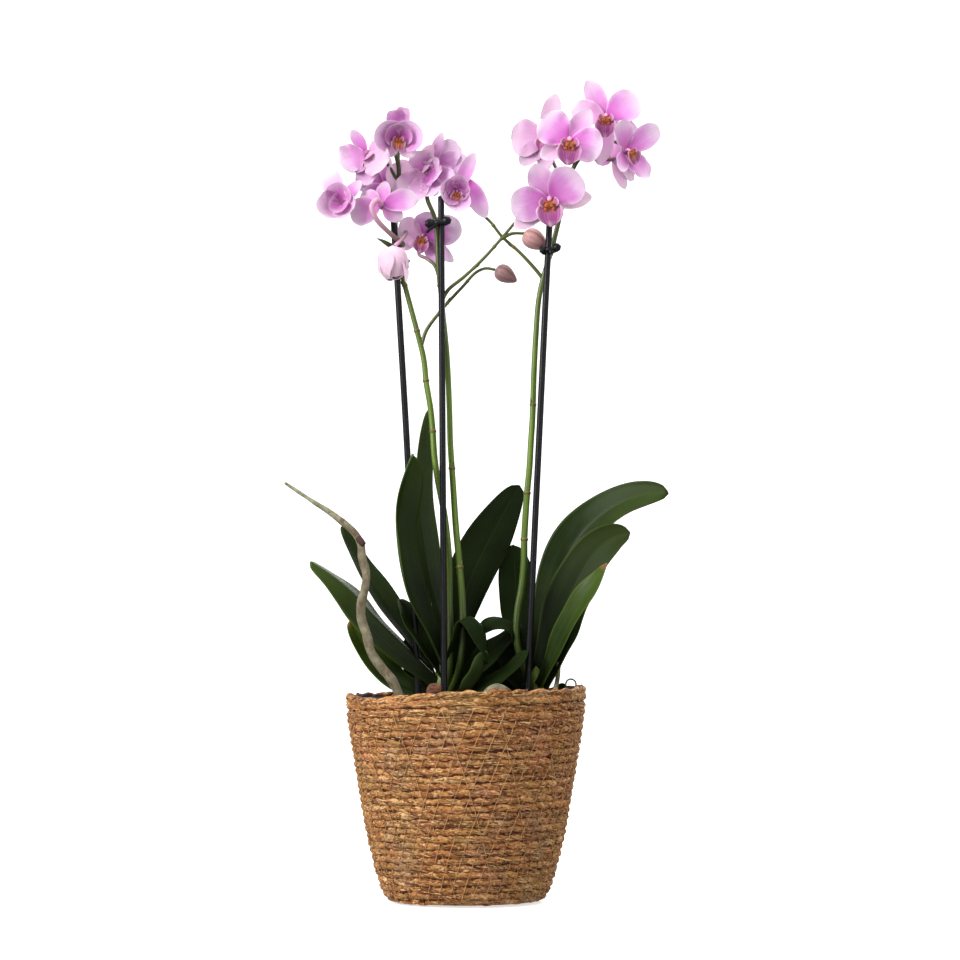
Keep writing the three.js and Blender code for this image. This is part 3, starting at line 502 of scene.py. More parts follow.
# Materials
class Nodes:
    """A material's nodes, with short ways to add to them. A string stands for the piece's value so named."""

    def __init__(self, name, roughness=0.5, **settings):
        self.material = bpy.data.materials.new(name)
        self.material.use_nodes = True
        self.tree = self.material.node_tree
        self.shader = self.tree.nodes["Principled BSDF"]
        for socket, value in dict(settings, Roughness=roughness).items():
            self.shader.inputs[socket.replace("_", " ")].default_value = value

    def new(self, kind, **settings):
        node = self.tree.nodes.new(kind)
        for name, value in settings.items():
            setattr(node, name, value)
        return node

    def feed(self, node, socket, value):
        if isinstance(value, str):
            value = self.new("ShaderNodeAttribute", attribute_name=value).outputs["Fac"]
        if isinstance(value, bpy.types.NodeSocket):
            self.tree.links.new(value, node.inputs[socket])
        else:
            node.inputs[socket].default_value = value

    def math(self, operation, a, b=0.0, clamp=False):
        node = self.new("ShaderNodeMath", operation=operation, use_clamp=clamp)
        self.feed(node, 0, a)
        self.feed(node, 1, b)
        return node.outputs[0]

    def plus(self, a, b, clamp=False):
        return self.math("ADD", a, b, clamp)

    def times(self, a, b):
        return self.math("MULTIPLY", a, b)

    def noise(self, vector, scale, detail, roughness):
        node = self.new("ShaderNodeTexNoise")
        for socket, value in dict(Vector=vector, Scale=scale, Detail=detail, Roughness=roughness).items():
            self.feed(node, socket, value)
        return node.outputs["Fac"]

    def grain(self, scale, detail=3.0, stretch=(1, 1, 1), roughness=0.55):
        """Noise over the place in metres, squeezed along each axis by stretch."""
        node = self.new("ShaderNodeMapping")
        self.feed(node, "Scale", stretch)
        self.feed(node, "Vector", self.new("ShaderNodeTexCoord").outputs["Object"])
        return self.noise(node.outputs[0], scale, detail, roughness)

    def streaks(self, *parts, scale=1.0, detail=3.0, roughness=0.55):
        """Noise over up to three of the piece's values, each given with its own scale."""
        node = self.new("ShaderNodeCombineXYZ")
        for index, (value, factor) in enumerate(parts):
            self.feed(node, index, self.times(value, factor))
        return self.noise(node.outputs[0], scale, detail, roughness)

    def ramp(self, value, *stops):
        """stops are (place, colour) or (place, number) in rising order."""
        node = self.new("ShaderNodeValToRGB")
        elements = node.color_ramp.elements
        while len(elements) < len(stops):
            elements.new(0.5)
        for element, (place, colour) in zip(elements, stops):
            element.position = place
            element.color = (*colour, 1) if isinstance(colour, tuple) else (colour, colour, colour, 1)
        self.feed(node, 0, value)
        return node.outputs["Color"]

    def mix(self, share, a, b, blend="MIX"):
        node = self.new("ShaderNodeMix", data_type="RGBA", blend_type=blend)
        for index, value in ((0, share), (6, a), (7, b)):
            self.feed(node, index, (*value, 1) if isinstance(value, tuple) else value)
        return node.outputs[2]

    def darken(self, colour, factor):
        return self.mix(1.0, colour, factor, "MULTIPLY")

    def cover(self, under, colour, value, *stops):
        """The colour lies over what is under it as thickly as the stops say for the value."""
        return self.mix(self.ramp(value, *stops), under, colour)

    def finish(self, colour, height=None, strength=0.0, distance=0.0, rough=None):
        self.feed(self.shader, "Base Color", colour)
        if rough is not None:
            self.feed(self.shader, "Roughness", rough)
        if height is not None:
            node = self.new("ShaderNodeBump")
            for socket, value in dict(Strength=strength, Distance=distance, Height=height).items():
                self.feed(node, socket, value)
            self.feed(self.shader, "Normal", node.outputs[0])
        return self.material


def rgb(red, green, blue):
    """A screen colour from 0 to 255 as the linear colour that materials use."""
    parts = [c / 255 for c in (red, green, blue)]
    return tuple(c / 12.92 if c <= 0.04045 else ((c + 0.055) / 1.055) ** 2.4 for c in parts)


def grass_material(name, light):
    """Dry flat grass: each strand has its own tint and long fibres; painted shade darkens the creases."""
    m = Nodes(name, 0.7, Specular_IOR_Level=0.3)
    fine = m.streaks(("metres", 70), ("around", 16), ("tint", 40), scale=1.6, detail=4)
    skin = m.ramp(m.plus(m.times("tint", 0.55), m.times(fine, 0.45)),
                  (0.2, rgb(96, 55, 24)), (0.36, rgb(144, 89, 43)), (0.5, rgb(170, 112, 57)),
                  (0.66, rgb(194, 139, 78)), (0.86, rgb(236, 202, 150)))
    rosy, greenish, greyish = rgb(190, 120, 84), rgb(152, 130, 72), rgb(172, 146, 120)
    skin = m.cover(skin, rosy, m.grain(48), (0.52, 0), (0.68, 0.5))
    skin = m.mix(m.times("blush", 0.8), skin, rgb(196, 122, 84))
    skin = m.cover(skin, greenish, m.grain(34, 2), (0.52, 0), (0.68, 0.32))
    skin = m.cover(skin, greyish, m.grain(41, 2), (0.55, 0), (0.7, 0.28))
    # Dark specks are painted shade in small pits; pale specks are painted highlights.
    pit_shade, glint = rgb(88, 48, 20), rgb(236, 200, 150)
    skin = m.cover(skin, pit_shade, m.grain(460, 2, (1, 1, 2.6), 0.6), (0.38, 0.95), (0.48, 0))
    skin = m.cover(skin, glint, m.grain(400, 2, (1, 1, 2.4), 0.6), (0.55, 0), (0.68, 0.62))
    # Painted shade in the creases between rows and strands, left out here and there by noise.
    filled = m.ramp(m.grain(110, 2, (1, 1, 1.4)), (0.45, 0), (0.66, 0.55))
    crease = m.ramp(m.plus("depth", filled, True), (0, rgb(92, 54, 26)), (0.3, rgb(184, 150, 116)), (0.6, 1))
    skin = m.darken(m.darken(skin, crease), (light, light, light))
    return m.finish(skin, fine, 0.6, 0.0004, m.ramp(fine, (0.2, 0.85), (0.8, 0.55)))


def thread_material(name, colour):
    m = Nodes(name, 0.6)
    twist = m.math("SINE", m.plus(m.times("metres", 9000), m.times("around", 6.283)))
    # The bands along the twist are painted shade between the plies; the grain is the thread's own colour.
    tone = m.plus(m.times(twist, 0.15), m.grain(900, 2), True)
    return m.finish(m.ramp(tone, (0.2, tuple(c * 0.55 for c in colour)), (0.8, colour)), twist, 0.4, 0.0001)


def leaf_material(name, dark, light, edge, gloss=0.14):
    """Waxy leaf: fine veins along it, a paler groove at the midrib, a thin edge, painted shade toward its
    foot.
    """
    m = Nodes(name, 0.4, Specular_IOR_Level=gloss)
    away = m.math("ABSOLUTE", "across")
    veins = m.streaks(("across", 26), ("along", 1.4), ("tint", 1))
    cloud = m.grain(45)
    skin = m.ramp(m.plus(m.times(veins, 0.5), m.times(cloud, 0.5)), (0.3, dark), (0.7, light))
    skin = m.cover(skin, tuple(min(1, c * 1.7) for c in light), away, (0, 0.5), (0.05, 0))
    skin = m.mix("lower_side", skin, rgb(66, 86, 40))
    skin = m.mix(m.times(m.ramp(away, (0.88, 0), (1, 0.7)), "yellow"), skin, edge)
    skin = m.mix(m.times(m.ramp("along", (0.5, 0), (0.95, 0.45)), "yellow"), skin, edge)
    skin = m.cover(skin, rgb(112, 84, 48), "wither", (0.15, 0), (0.6, 1))
    # Painted shade toward the foot, where the leaves crowd together, and the leaf's own brightness with
    # painted shade.
    skin = m.darken(m.darken(skin, m.ramp("along", (0, 0.4), (0.5, 1))), "tone")
    dull = m.plus(m.ramp("tone", (0.35, 0.62), (0.75, 0.34)), m.ramp(cloud, (0.3, 0), (0.75, 0.12)))
    return m.finish(skin, m.plus(m.times(veins, 0.6), m.times(m.grain(600, 2), 0.25)), 0.35, 0.0004, dull)


def stem_material():
    """Green stems, browner upward, pink flower stalks, brown joints; painted shade under leaves and flowers.
    """
    m = Nodes("stem_skin", 0.42, Specular_IOR_Level=0.45)
    streak = m.streaks(("around", 8), ("metres", 30))
    speck = m.grain(700, 2)
    skin = m.ramp(streak, (0.25, rgb(58, 80, 14)), (0.55, rgb(92, 118, 26)), (0.85, rgb(124, 148, 44)))
    skin = m.mix("olive", skin, m.ramp(streak, (0.25, rgb(50, 58, 22)), (0.8, rgb(94, 98, 46))))
    skin = m.mix("pink", skin, m.ramp(streak, (0.3, rgb(196, 126, 164)), (0.8, rgb(232, 182, 210))))
    skin = m.mix("joint", skin, rgb(104, 76, 50))
    skin = m.cover(skin, rgb(60, 48, 24), speck, (0.62, 0), (0.7, 0.35))
    skin = m.darken(skin, m.ramp("shade", (0, 1), (1, 0.3)))
    return m.finish(skin, m.plus(streak, speck), 0.25, 0.0002)


def petal_material():
    """Soft tepals: magenta at the base, mauve in the middle, whitish toward the edges, fine veins."""
    m = Nodes("petal_skin", 0.55, Specular_IOR_Level=0.3, Sheen_Weight=0.25, Sheen_Roughness=0.5,
              Subsurface_Weight=0.22, Subsurface_Radius=(0.004, 0.0025, 0.0035), Subsurface_Scale=1.0)
    veins = m.streaks(("across", 15), ("along", 2.2), ("tint", 30), roughness=0.6)
    reach = m.plus("along", m.times(m.math("SUBTRACT", m.grain(120, 2), 0.5), 0.3))
    skin = m.ramp(reach, (0, rgb(176, 62, 158)), (0.22, rgb(198, 98, 184)), (0.5, rgb(212, 136, 204)),
                  (0.8, rgb(220, 166, 214)), (1, rgb(226, 190, 220)))
    skin = m.cover(skin, rgb(186, 96, 180), veins, (0.35, 0.3), (0.62, 0))
    outer = m.times(m.math("SUBTRACT", "along", 0.12), 1.12)
    brink = m.math("MAXIMUM", m.math("ABSOLUTE", "across"), outer)
    skin = m.cover(skin, rgb(224, 198, 221), brink, (0.5, 0), (0.92, 0.75))
    skin = m.cover(skin, rgb(246, 234, 244), brink, (0.94, 0), (1, 0.9))
    skin = m.mix("deep", m.mix("pale", skin, rgb(234, 196, 216)), rgb(176, 62, 152))
    # The flower's brightness is partly its own colour and partly painted light and shade.
    return m.finish(m.darken(skin, "tone"), veins, 0.3, 0.0004)


def lip_material():
    """The lip and its side lobes: magenta with a gold and brown heart."""
    m = Nodes("lip_skin", 0.42, Specular_IOR_Level=0.45, Subsurface_Weight=0.15,
              Subsurface_Radius=(0.003, 0.0015, 0.002), Subsurface_Scale=1.0)
    stripes = m.streaks(("across", 16), ("along", 2), ("tint", 1))
    skin = m.ramp(stripes, (0.3, rgb(128, 50, 108)), (0.55, rgb(164, 82, 144)), (0.8, rgb(200, 132, 188)))
    skin = m.cover(skin, rgb(236, 196, 222), m.math("ABSOLUTE", "across"), (0.75, 0), (1, 0.6))
    gold = m.ramp(stripes, (0.3, rgb(122, 48, 30)), (0.48, rgb(186, 100, 34)), (0.74, rgb(232, 170, 84)))
    skin = m.mix("pale", m.mix("gold", skin, gold), rgb(240, 214, 226))
    return m.finish(skin, stripes, 0.3, 0.0003)


def column_material():
    m = Nodes("column_skin", 0.4, Subsurface_Weight=0.2, Subsurface_Radius=(0.003, 0.002, 0.002),
              Subsurface_Scale=1.0)
    skin = m.ramp("along", (0.1, rgb(186, 92, 166)), (0.6, rgb(206, 140, 180)), (1, rgb(212, 158, 150)))
    return m.finish(skin, m.grain(900, 2), 0.2, 0.0002)


def bud_material():
    m = Nodes("bud_skin", 0.55, Sheen_Weight=0.2, Subsurface_Weight=0.1,
              Subsurface_Radius=(0.003, 0.0015, 0.0015))
    veins = m.streaks(("around", 22), ("along", 2))
    skin = m.mix("seam", m.ramp(veins, (0.3, rgb(124, 84, 82)), (0.7, rgb(164, 122, 122))), rgb(104, 66, 58))
    # The bud's brightness is painted light and shade.
    return m.finish(m.darken(skin, "tone"), veins, 0.35, 0.0003)


def root_material():
    """Dry silver skin of an aerial root with brown flecks, greener where it is younger."""
    m = Nodes("root_skin", 0.82)
    cloud = m.grain(160, 4)
    fleck = m.grain(420, 2, (1, 1, 0.6))
    skin = m.ramp(cloud, (0.3, rgb(82, 72, 52)), (0.6, rgb(122, 114, 90)), (0.85, rgb(158, 150, 126)))
    skin = m.mix("young", skin, m.ramp(cloud, (0.3, rgb(96, 98, 70)), (0.8, rgb(156, 156, 128))))
    skin = m.cover(skin, rgb(92, 66, 42), fleck, (0.56, 0), (0.66, 0.85))
    skin = m.mix("scar", skin, rgb(58, 34, 22))
    return m.finish(skin, m.plus(cloud, m.times(fleck, 0.6)), 0.7, 0.0006)


def bark_material():
    m = Nodes("bark_chip", 0.88)
    layers = m.grain(260, 4, (1, 1, 3.5))
    skin = m.ramp(layers, (0.3, rgb(48, 28, 16)), (0.5, rgb(92, 58, 36)), (0.7, rgb(134, 90, 60)),
                  (0.85, rgb(164, 124, 92)))
    skin = m.cover(skin, rgb(120, 62, 44), m.grain(60), (0.5, 0), (0.7, 0.5))
    return m.finish(skin, layers, 0.8, 0.0008)


def stick_material():
    m = Nodes("black_coating", 0.4, Specular_IOR_Level=0.22)
    grain = m.grain(900, 3, (1, 1, 0.15))
    skin = m.ramp(grain, (0.3, rgb(10, 10, 13)), (0.75, rgb(22, 22, 27)))
    return m.finish(skin, grain, 0.25, 0.0002, m.ramp(grain, (0.3, 0.28), (0.75, 0.46)))


def liner_material():
    m = Nodes("liner_film", 0.38)
    creases = m.grain(130, 4, (1, 1, 0.4))
    # The film is darker in its creases: painted shade.
    return m.finish(m.ramp(creases, (0.3, rgb(58, 62, 62)), (0.7, rgb(98, 104, 104))), creases, 0.8, 0.001)


def pot_material():
    m = Nodes("pot_plastic", 0.16, Transmission_Weight=0.75, IOR=1.45)
    haze = m.grain(90)
    skin = m.ramp(haze, (0.3, rgb(206, 214, 208)), (0.7, rgb(232, 238, 234)))
    return m.finish(skin, rough=m.ramp(haze, (0.3, 0.12), (0.7, 0.3)))


GRASS = grass_material("grass_rope", 1.0)
RIM_GRASS = grass_material("rim_grass", 0.86)
SEWING = thread_material("sewing_thread", rgb(206, 154, 98))
LOOP_THREAD = thread_material("loop_thread", rgb(56, 60, 52))
LEAF = leaf_material("leaf_skin", rgb(23, 36, 11), rgb(48, 65, 23), rgb(92, 116, 30))
SHADED_LEAF = leaf_material("leaf_skin_shaded", rgb(23, 38, 12), rgb(46, 64, 24), rgb(92, 116, 30), 0.04)
YOUNG = leaf_material("young_leaf_skin", rgb(40, 66, 16), rgb(78, 112, 28), rgb(96, 124, 40))
STEM = stem_material()
PETAL = petal_material()
LIP = lip_material()
COLUMN = column_material()
BUD = bud_material()
ROOT = root_material()
BARK = bark_material()
STICK = stick_material()
LINER = liner_material()
POT = pot_material()


# Basket
def rim_lean(points):
    """The rim of the hand-made basket stands a little higher on the right than on the left."""
    leaned = points.copy()
    height = leaned[:, 2] / (BASKET_HEIGHT * MM)
    leaned[:, 2] += RIM_LEAN * MM * height ** 2 * leaned[:, 0] / (BASKET_TOP_RADIUS * MM)
    return leaned


def basket_profile():
    """The rope's centre (radius, height), its way inward and its length up the wall, in millimetres."""
    outer = np.array(BASKET_OUTER, float)
    curve = smooth_curve(np.column_stack([outer, np.zeros(len(outer))]), 400)[:, :2]
    slope = unit(np.gradient(curve, axis=0))
    inward = np.column_stack([-slope[:, 1], slope[:, 0]])
    centre = curve + inward * ROPE_RADIUS
    return centre, inward, distance_along(centre)


PROFILE, INWARD, PROFILE_LENGTH = basket_profile()
WALL_LENGTH = PROFILE_LENGTH[-1]
TURNS = WALL_LENGTH / ROPE_PITCH


def inward_at(at):
    return np.interp(at, PROFILE_LENGTH, INWARD[:, 0]), np.interp(at, PROFILE_LENGTH, INWARD[:, 1])


def wall_place(turns, angle, out=0.0):
    """A point of the wall, from how many turns up the rope has gone and the angle round the basket."""
    at = np.clip(turns * ROPE_PITCH, 0, WALL_LENGTH)
    inward, upward = inward_at(at)
    radius = np.interp(at, PROFILE_LENGTH, PROFILE[:, 0]) - out * inward
    height = np.interp(at, PROFILE_LENGTH, PROFILE[:, 1]) - out * upward
    return polar(radius, angle, height) * MM


def wavy(turns, angle):
    """How far a row of rope strays up and out from its place, in millimetres."""
    row = np.floor(turns)
    up = 0.3 * np.sin(3 * angle + 1.7 * row) + 0.2 * np.sin(7 * angle + 2.9 * row)
    out = 0.2 * np.sin(5 * angle + 2.3 * row) + 0.2 * np.sin(2 * angle + 4.1 * row) + 0.1
    return up, out


def slow_noise(count, step, spread):
    knots = noise_rng.uniform(-spread, spread, count // step + 3)
    return np.interp(np.arange(count) / step, np.arange(len(knots)), knots)


def add_rope_strand(shape, centre, out_axis, up_axis, phase, lay, offset, radius, sides, tint):
    """One strand of a twisted rope: it winds round the rope's centre line. Its painted light is 0 in the
    creases.
    """
    count = len(centre)
    wobble = slow_noise(count, 7, 1.3)
    angle = phase - TAU * distance_along(centre) / (lay * MM) + wobble
    fat = 0.98 + slow_noise(count, 3, 0.1) + slow_noise(count, 11, 0.08)
    reach = offset * (1 + slow_noise(count, 5, 0.5))
    out, up = (reach * np.cos(angle))[:, None], (reach * np.sin(angle))[:, None]

    def section(turn, share):
        ridges = 0.95 + 0.05 * np.cos(3 * turn + 60 * share) + 0.05 * np.cos(4 * turn - 200 * share)
        return ridges * fat[:, None] / np.sqrt((np.cos(turn) / STRAND_FLATNESS) ** 2 + np.sin(turn) ** 2)

    half = radius * STRAND_FLATNESS
    outward = out + half * np.cos(circle(sides))
    sideways = up + radius * np.sin(circle(sides))
    # Painted shade: the strand is darker on its inner side and in the creases where the strands meet.
    front = np.clip(0.35 + outward / (offset + half) / 0.6, 0, 1)
    crease = np.clip((np.hypot(outward / STRAND_FLATNESS, sideways) / (offset + radius) - 0.55) / 0.26, 0, 1)
    depth = np.concatenate([(front * (0.45 + 0.55 * crease)).ravel(), [0, 0]])
    tints = np.clip(tint + slow_noise(count, 9, 0.4) + slow_noise(count, 4, 0.22), 0, 1)
    add_tube(shape, centre + (out_axis * out + up_axis * up) * MM, [radius * MM] * 2, sides, section,
             (out_axis, up_axis), tint=tints, depth=depth)


def build_basket():
    """The wall's rope, one long coil of two strands, in bands from the foot up."""
    for band in range(WALL_BANDS):
        shape = Shape()
        low = band * (TURNS / WALL_BANDS)
        high = (band + 1) * (TURNS / WALL_BANDS) + (WALL_END if band == WALL_BANDS - 1 else 0)
        turns = np.linspace(low, high, int((high - low) * WALL_STEPS))
        angle = TAU * turns
        up, out = wavy(turns, angle)
        centre = rim_lean(wall_place(turns + up / ROPE_PITCH, angle, out))
        inward, upward = inward_at(turns * ROPE_PITCH)
        out_axis = polar(-inward, angle, -upward)
        up_axis = unit(np.cross(tangents_of(centre), out_axis)) * -1
        for strand in range(ROPE_STRANDS):
            add_rope_strand(shape, centre, out_axis, up_axis, TAU * strand / ROPE_STRANDS + band, STRAND_LAY,
                            STRAND_OFFSET, STRAND_RADIUS, 10, rng.uniform(0.42, 0.58))
        shape.rest()
        shape.piece(f"basket_rope_{band + 1}", GRASS, "seagrass", *(["basket"] if band == 0 else []))


def build_basket_base():
    """The rope goes on under the basket as a flat spiral, with a thin dark core sheet inside the wall."""
    shape = Shape()
    turns = (BASE_OUTER - BASE_INNER) / ROPE_PITCH
    count = int(turns * BASE_STEPS)
    share = np.linspace(0, 1, count)
    radius = (BASE_INNER + (BASE_OUTER - BASE_INNER) * share) * MM
    centre = polar(radius, TAU * turns * share, (ROPE_RADIUS + 0.4) * MM)
    out_axis = np.tile([0, 0, -1.0], (count, 1))
    up_axis = unit(np.cross(tangents_of(centre), out_axis))
    for strand in range(ROPE_STRANDS):
        add_rope_strand(shape, centre, out_axis, up_axis, TAU * strand / ROPE_STRANDS, STRAND_LAY,
                        STRAND_OFFSET, BASE_STRAND_RADIUS, 6, 0.5)
    shape.rest()
    shape.piece("basket_base", GRASS, "seagrass")

    shade_core = Shape()
    wall = np.linspace(0, WALL_LENGTH, 60) / ROPE_PITCH
    angle = circle(96)
    rings = [wall_place(np.full(len(angle), turn), angle, out)
             for turns, out in ((wall, BED_FRONT), (wall[::-1], BED_BACK)) for turn in turns]
    # The core sheet is dark: painted shade in the gaps between the rows.
    add_rings(shade_core, rings, tint=0.15, depth=0.12, metres=0.0, around=0.0)
    shade_core.piece("basket_shade_core", GRASS, "seagrass")


def add_grass_blade(shape, path, outward, depth):
    """One flat blade of grass that lies on the rope, pale, brown or reddish by chance, with painted shade
    where it lies low.
    """
    upward = unit(np.cross(outward, tangents_of(path)))
    half = rng.uniform(0.35, 0.95) * MM
    kind = rng.random()
    tint = rng.uniform(0.85, 1.0) if kind > 0.86 else rng.uniform(0.05, 0.8)
    add_tube(shape, path, half * np.array([0.3, 0.8, 1, 1, 0.7, 0.2]), 5, oval(0.3), (outward, upward),
             tint=tint, depth=depth, blush=0.75 if kind < 0.15 else 0.0)


def build_rim():
    """The thicker two-strand rope that closes the wall, with loose blades on it, and the loop of thread."""
    shape = Shape()
    angle = np.linspace(0, TAU, 321)
    sag = RIM_SAG * np.exp(-((angle - RIM_SAG_ANGLE) / RIM_SAG_SPREAD) ** 2)
    height = (BASKET_HEIGHT - RIM_HALF_HEIGHT + 0.3 * np.sin(4 * angle + 1) - sag) * MM
    radius = (RIM_RING_RADIUS + 0.3 * np.sin(3 * angle)) * MM
    centre = rim_lean(polar(radius, angle, height))
    out_axis = polar(1, angle, 0)
    up_axis = np.tile([0, 0, 1.0], (len(angle), 1))
    lay = TAU * RIM_RING_RADIUS / round(TAU * RIM_RING_RADIUS / RIM_LAY)
    for strand in range(ROPE_STRANDS):
        add_rope_strand(shape, centre, out_axis, up_axis, TAU * strand / ROPE_STRANDS + 0.6, -lay,
                        RIM_STRAND_OFFSET, RIM_STRAND_RADIUS, 14, 0.55)
    share = np.linspace(0, 1, 6)
    for _ in range(RIM_BLADES):
        around = rng.uniform(0, TAU) + rng.uniform(0.06, 0.2) * share
        climb = rng.uniform(-1.6, 0.4) + rng.uniform(0.4, 2.0) * share
        place = np.column_stack([np.interp(around % TAU, angle, centre[:, axis]) for axis in range(3)])
        round_out = np.sqrt(np.clip(1 - (climb / RIM_HALF_HEIGHT) ** 2, 0, 1)) * RIM_HALF_DEPTH
        out = round_out + 0.1 - 0.4 * np.abs(2 * share - 1) ** 3
        path = place + polar(out, around, climb) * MM
        # Blades on the rim get little painted shade.
        add_grass_blade(shape, path, unit(polar(1, around, 0.45 * climb)), 0.85)
    shape.piece("rim_rope_strands", RIM_GRASS, "seagrass", "rim_rope")

    loop = Shape()
    turn = np.linspace(0, TAU, 40)
    bends = (np.cos(turn), np.sin(turn * 2), np.sin(turn))
    ring = np.column_stack([c + r * bend for c, r, bend in zip(LOOP_CENTRE, LOOP_REACH, bends)])
    add_tube(loop, ring * MM, [LOOP_THREAD_RADIUS * MM] * 2, 8)
    loop.piece("rim_loop_thread", LOOP_THREAD, "sewing_thread", "rim_loop")


def build_stitches():
    """Sewing threads that run up the wall over the rows, most of them leaning to the right."""
    shape = Shape()
    rows = int(TURNS) - 2
    row = np.linspace(0.5, rows, (rows - 1) * 6)
    lines = [(i / THREAD_LINES, THREAD_LEAN) for i in range(THREAD_LINES)]
    lines += [(i / COUNTER_LINES + 0.02, -THREAD_LEAN * 0.8) for i in range(COUNTER_LINES)]
    for start, lean in lines:
        angle = TAU * start + lean * row + slow_noise(len(row), 14, 0.006)
        sunk = 0.3 * np.clip(1.4 - 2 * row / rows, 0, 1)
        out = 1.5 + 0.95 * np.abs(np.cos(math.pi * row)) - sunk + slow_noise(len(row), 7, 0.36)
        add_tube(shape, rim_lean(wall_place(row + angle / TAU, angle, out)), [THREAD_RADIUS * MM] * 2, 4)
    shape.piece("basket_stitches", SEWING, "sewing_thread")


def build_grass_blades():
    """Blades that lie along the rope and across its creases, so that no row stays a smooth cord."""
    share = np.linspace(0, 1, 6)
    for part in (1, 2):
        shape = Shape()
        for _ in range(WALL_BLADES):
            turns = rng.uniform(0.8, TURNS - 0.3)
            start = rng.uniform(0, TAU)
            reach = rng.uniform(0.035, 0.17)
            angle = start + reach * share
            slope = math.tan(math.radians(rng.uniform(-3, 16)))
            rise = turns - slope * reach * BASKET_MIDDLE_RADIUS / ROPE_PITCH * (share - 0.5)
            crown = np.abs(np.cos(math.pi * (rise - angle / TAU)))
            out = wavy(rise, angle)[1]
            lift = 1.3 + 0.8 * crown + out + rng.uniform(0.0, 0.3) - 0.5 * np.abs(2 * share - 1) ** 3
            path = rim_lean(wall_place(rise, angle, lift))
            # Blades on the crown of a row get less painted shade than those in the creases.
            add_grass_blade(shape, path, polar(1, angle, -0.15), 0.42 + 0.5 * crown)
        shape.piece(f"basket_grass_blades_{part}", GRASS, "seagrass")


# Liner, pot and bark
def lathe(shape, profile, columns, wobble=None):
    """A closed ring-shaped body from a closed outline of (radius, height) in millimetres."""
    angle = circle(columns)
    add_rings(shape, [polar(radius + (wobble(angle, height) if wobble else 0.0), angle, height) * MM
                      for radius, height in profile])


def build_liner_and_pot():
    liner = Shape()
    radii, heights = zip(*((r - BASKET_WALL - 0.5, h) for r, h in BASKET_OUTER[2:]))
    outer = [(float(np.interp(h, heights, radii)), h) for h in np.linspace(9, 121.9, 16)]
    outer += [(outer[-1][0] - 1, LINER_TOP)]
    inner = [(r - LINER_THICKNESS, h) for r, h in reversed(outer)]
    lathe(liner, outer + inner, 200, lambda angle, height:
          -LINER_THICKNESS + 0.3 * np.sin(17 * angle + 0.11 * height) * np.sin(5 * angle + 0.07 * height))
    liner.piece("liner_sleeve", LINER, "liner_film", "basket_liner")

    pot = Shape()
    slope = [(POT_FOOT_RADIUS + (POT_TOP_RADIUS - POT_FOOT_RADIUS) * s, POT_FLOOR + (POT_TOP - POT_FLOOR) * s)
             for s in np.linspace(0.02, 0.96, 12)]
    lip = [(r, POT_TOP - down) for r, down in POT_LIP]
    lathe(pot, slope + lip + [(r - POT_WALL, h) for r, h in reversed(slope)], 128)
    pot.piece("growing_pot", POT, "clear_pot", "nursery_pot")


def mound_height(x, y):
    """Height of the bark in the pot, in millimetres."""
    return BARK_TOP + BARK_MOUND * np.interp(math.hypot(x, y), [0, 14, 30, 46, 58.4], [1, 1, 0.8, 0.4, 0])


def add_chip(shape, centre, size, turn, tilt, seed):
    """A flat broken piece of bark with uneven sides."""
    bumps = np.random.default_rng(seed).uniform(-1, 1, (6, 3))

    def move(points):
        square = np.sign(points) * np.abs(points) ** 0.6
        return square + sum(0.06 * np.sin(4 * (points @ bump) + i)[:, None] * points
                            for i, bump in enumerate(bumps))

    matrix = Matrix.Rotation(math.radians(turn), 3, "Z") @ Matrix.Rotation(math.radians(tilt), 3, "X")
    add_ball(shape, np.array(centre) * MM, np.array(size) / 2 * MM, 7, 9, matrix, move)


def build_bark():
    rows, columns = 14, 48
    ring = [(math.cos(TAU * c / columns), math.sin(TAU * c / columns)) for c in range(columns)]
    points = [(BARK_FOOT_RADIUS * x, BARK_FOOT_RADIUS * y, POT_FLOOR + 1.2) for x, y in ring]
    for r in np.linspace(BARK_RADIUS, 1.5, rows):
        for x, y in ((r * x, r * y) for x, y in ring):
            lumps = 1.1 * math.sin(0.55 * x + 1) * math.cos(0.5 * y) + 0.7 * math.sin(1.1 * x + 0.9 * y)
            points.append((x, y, mound_height(x, y) - 2.6 + lumps))
    faces = grid_faces(rows + 1, columns, True)
    faces += [tuple(reversed(range(columns))), tuple(range(rows * columns, (rows + 1) * columns))]
    mound = Shape()
    mound.add(points_mm(points), faces)
    mound.piece("bark_filling", BARK, "bark", "bark_substrate")

    chips = Shape()
    for i in range(BARK_CHIPS):
        a = rng.uniform(0, TAU)
        r = 57 * math.sqrt(rng.uniform(0, 1))
        x, y = r * math.cos(a), r * math.sin(a)
        length = rng.uniform(7, 15)
        limit = 1 - 0.5 * max(0, r - 50) / 7
        add_chip(chips, (x, y, mound_height(x, y) - 1.2 + rng.uniform(0, 1.6)),
                 (length * limit, length * rng.uniform(0.45, 0.8) * limit, rng.uniform(2.5, 4.5)),
                 rng.uniform(0, 360), rng.uniform(-18, 18), i)
    chips.piece("bark_top_layer", BARK, "bark")
    for i, (centre, size, turn) in enumerate(NAMED_CHIPS, 1):
        chip = Shape()
        add_chip(chip, centre, size, turn, 8, 500 + i)
        chip.piece(f"bark_piece_{i}", BARK, "bark", f"bark_chip_{i}")


# Sticks, clips and the plant's short stems
def build_sticks():
    for side, points in STICKS.items():
        shape = Shape()
        add_tube(shape, curve_mm(points, 60), [STICK_RADIUS * MM] * 2, 16)
        shape.piece(f"stick_{side}", STICK, "black_stick", f"support_stick_{side}")


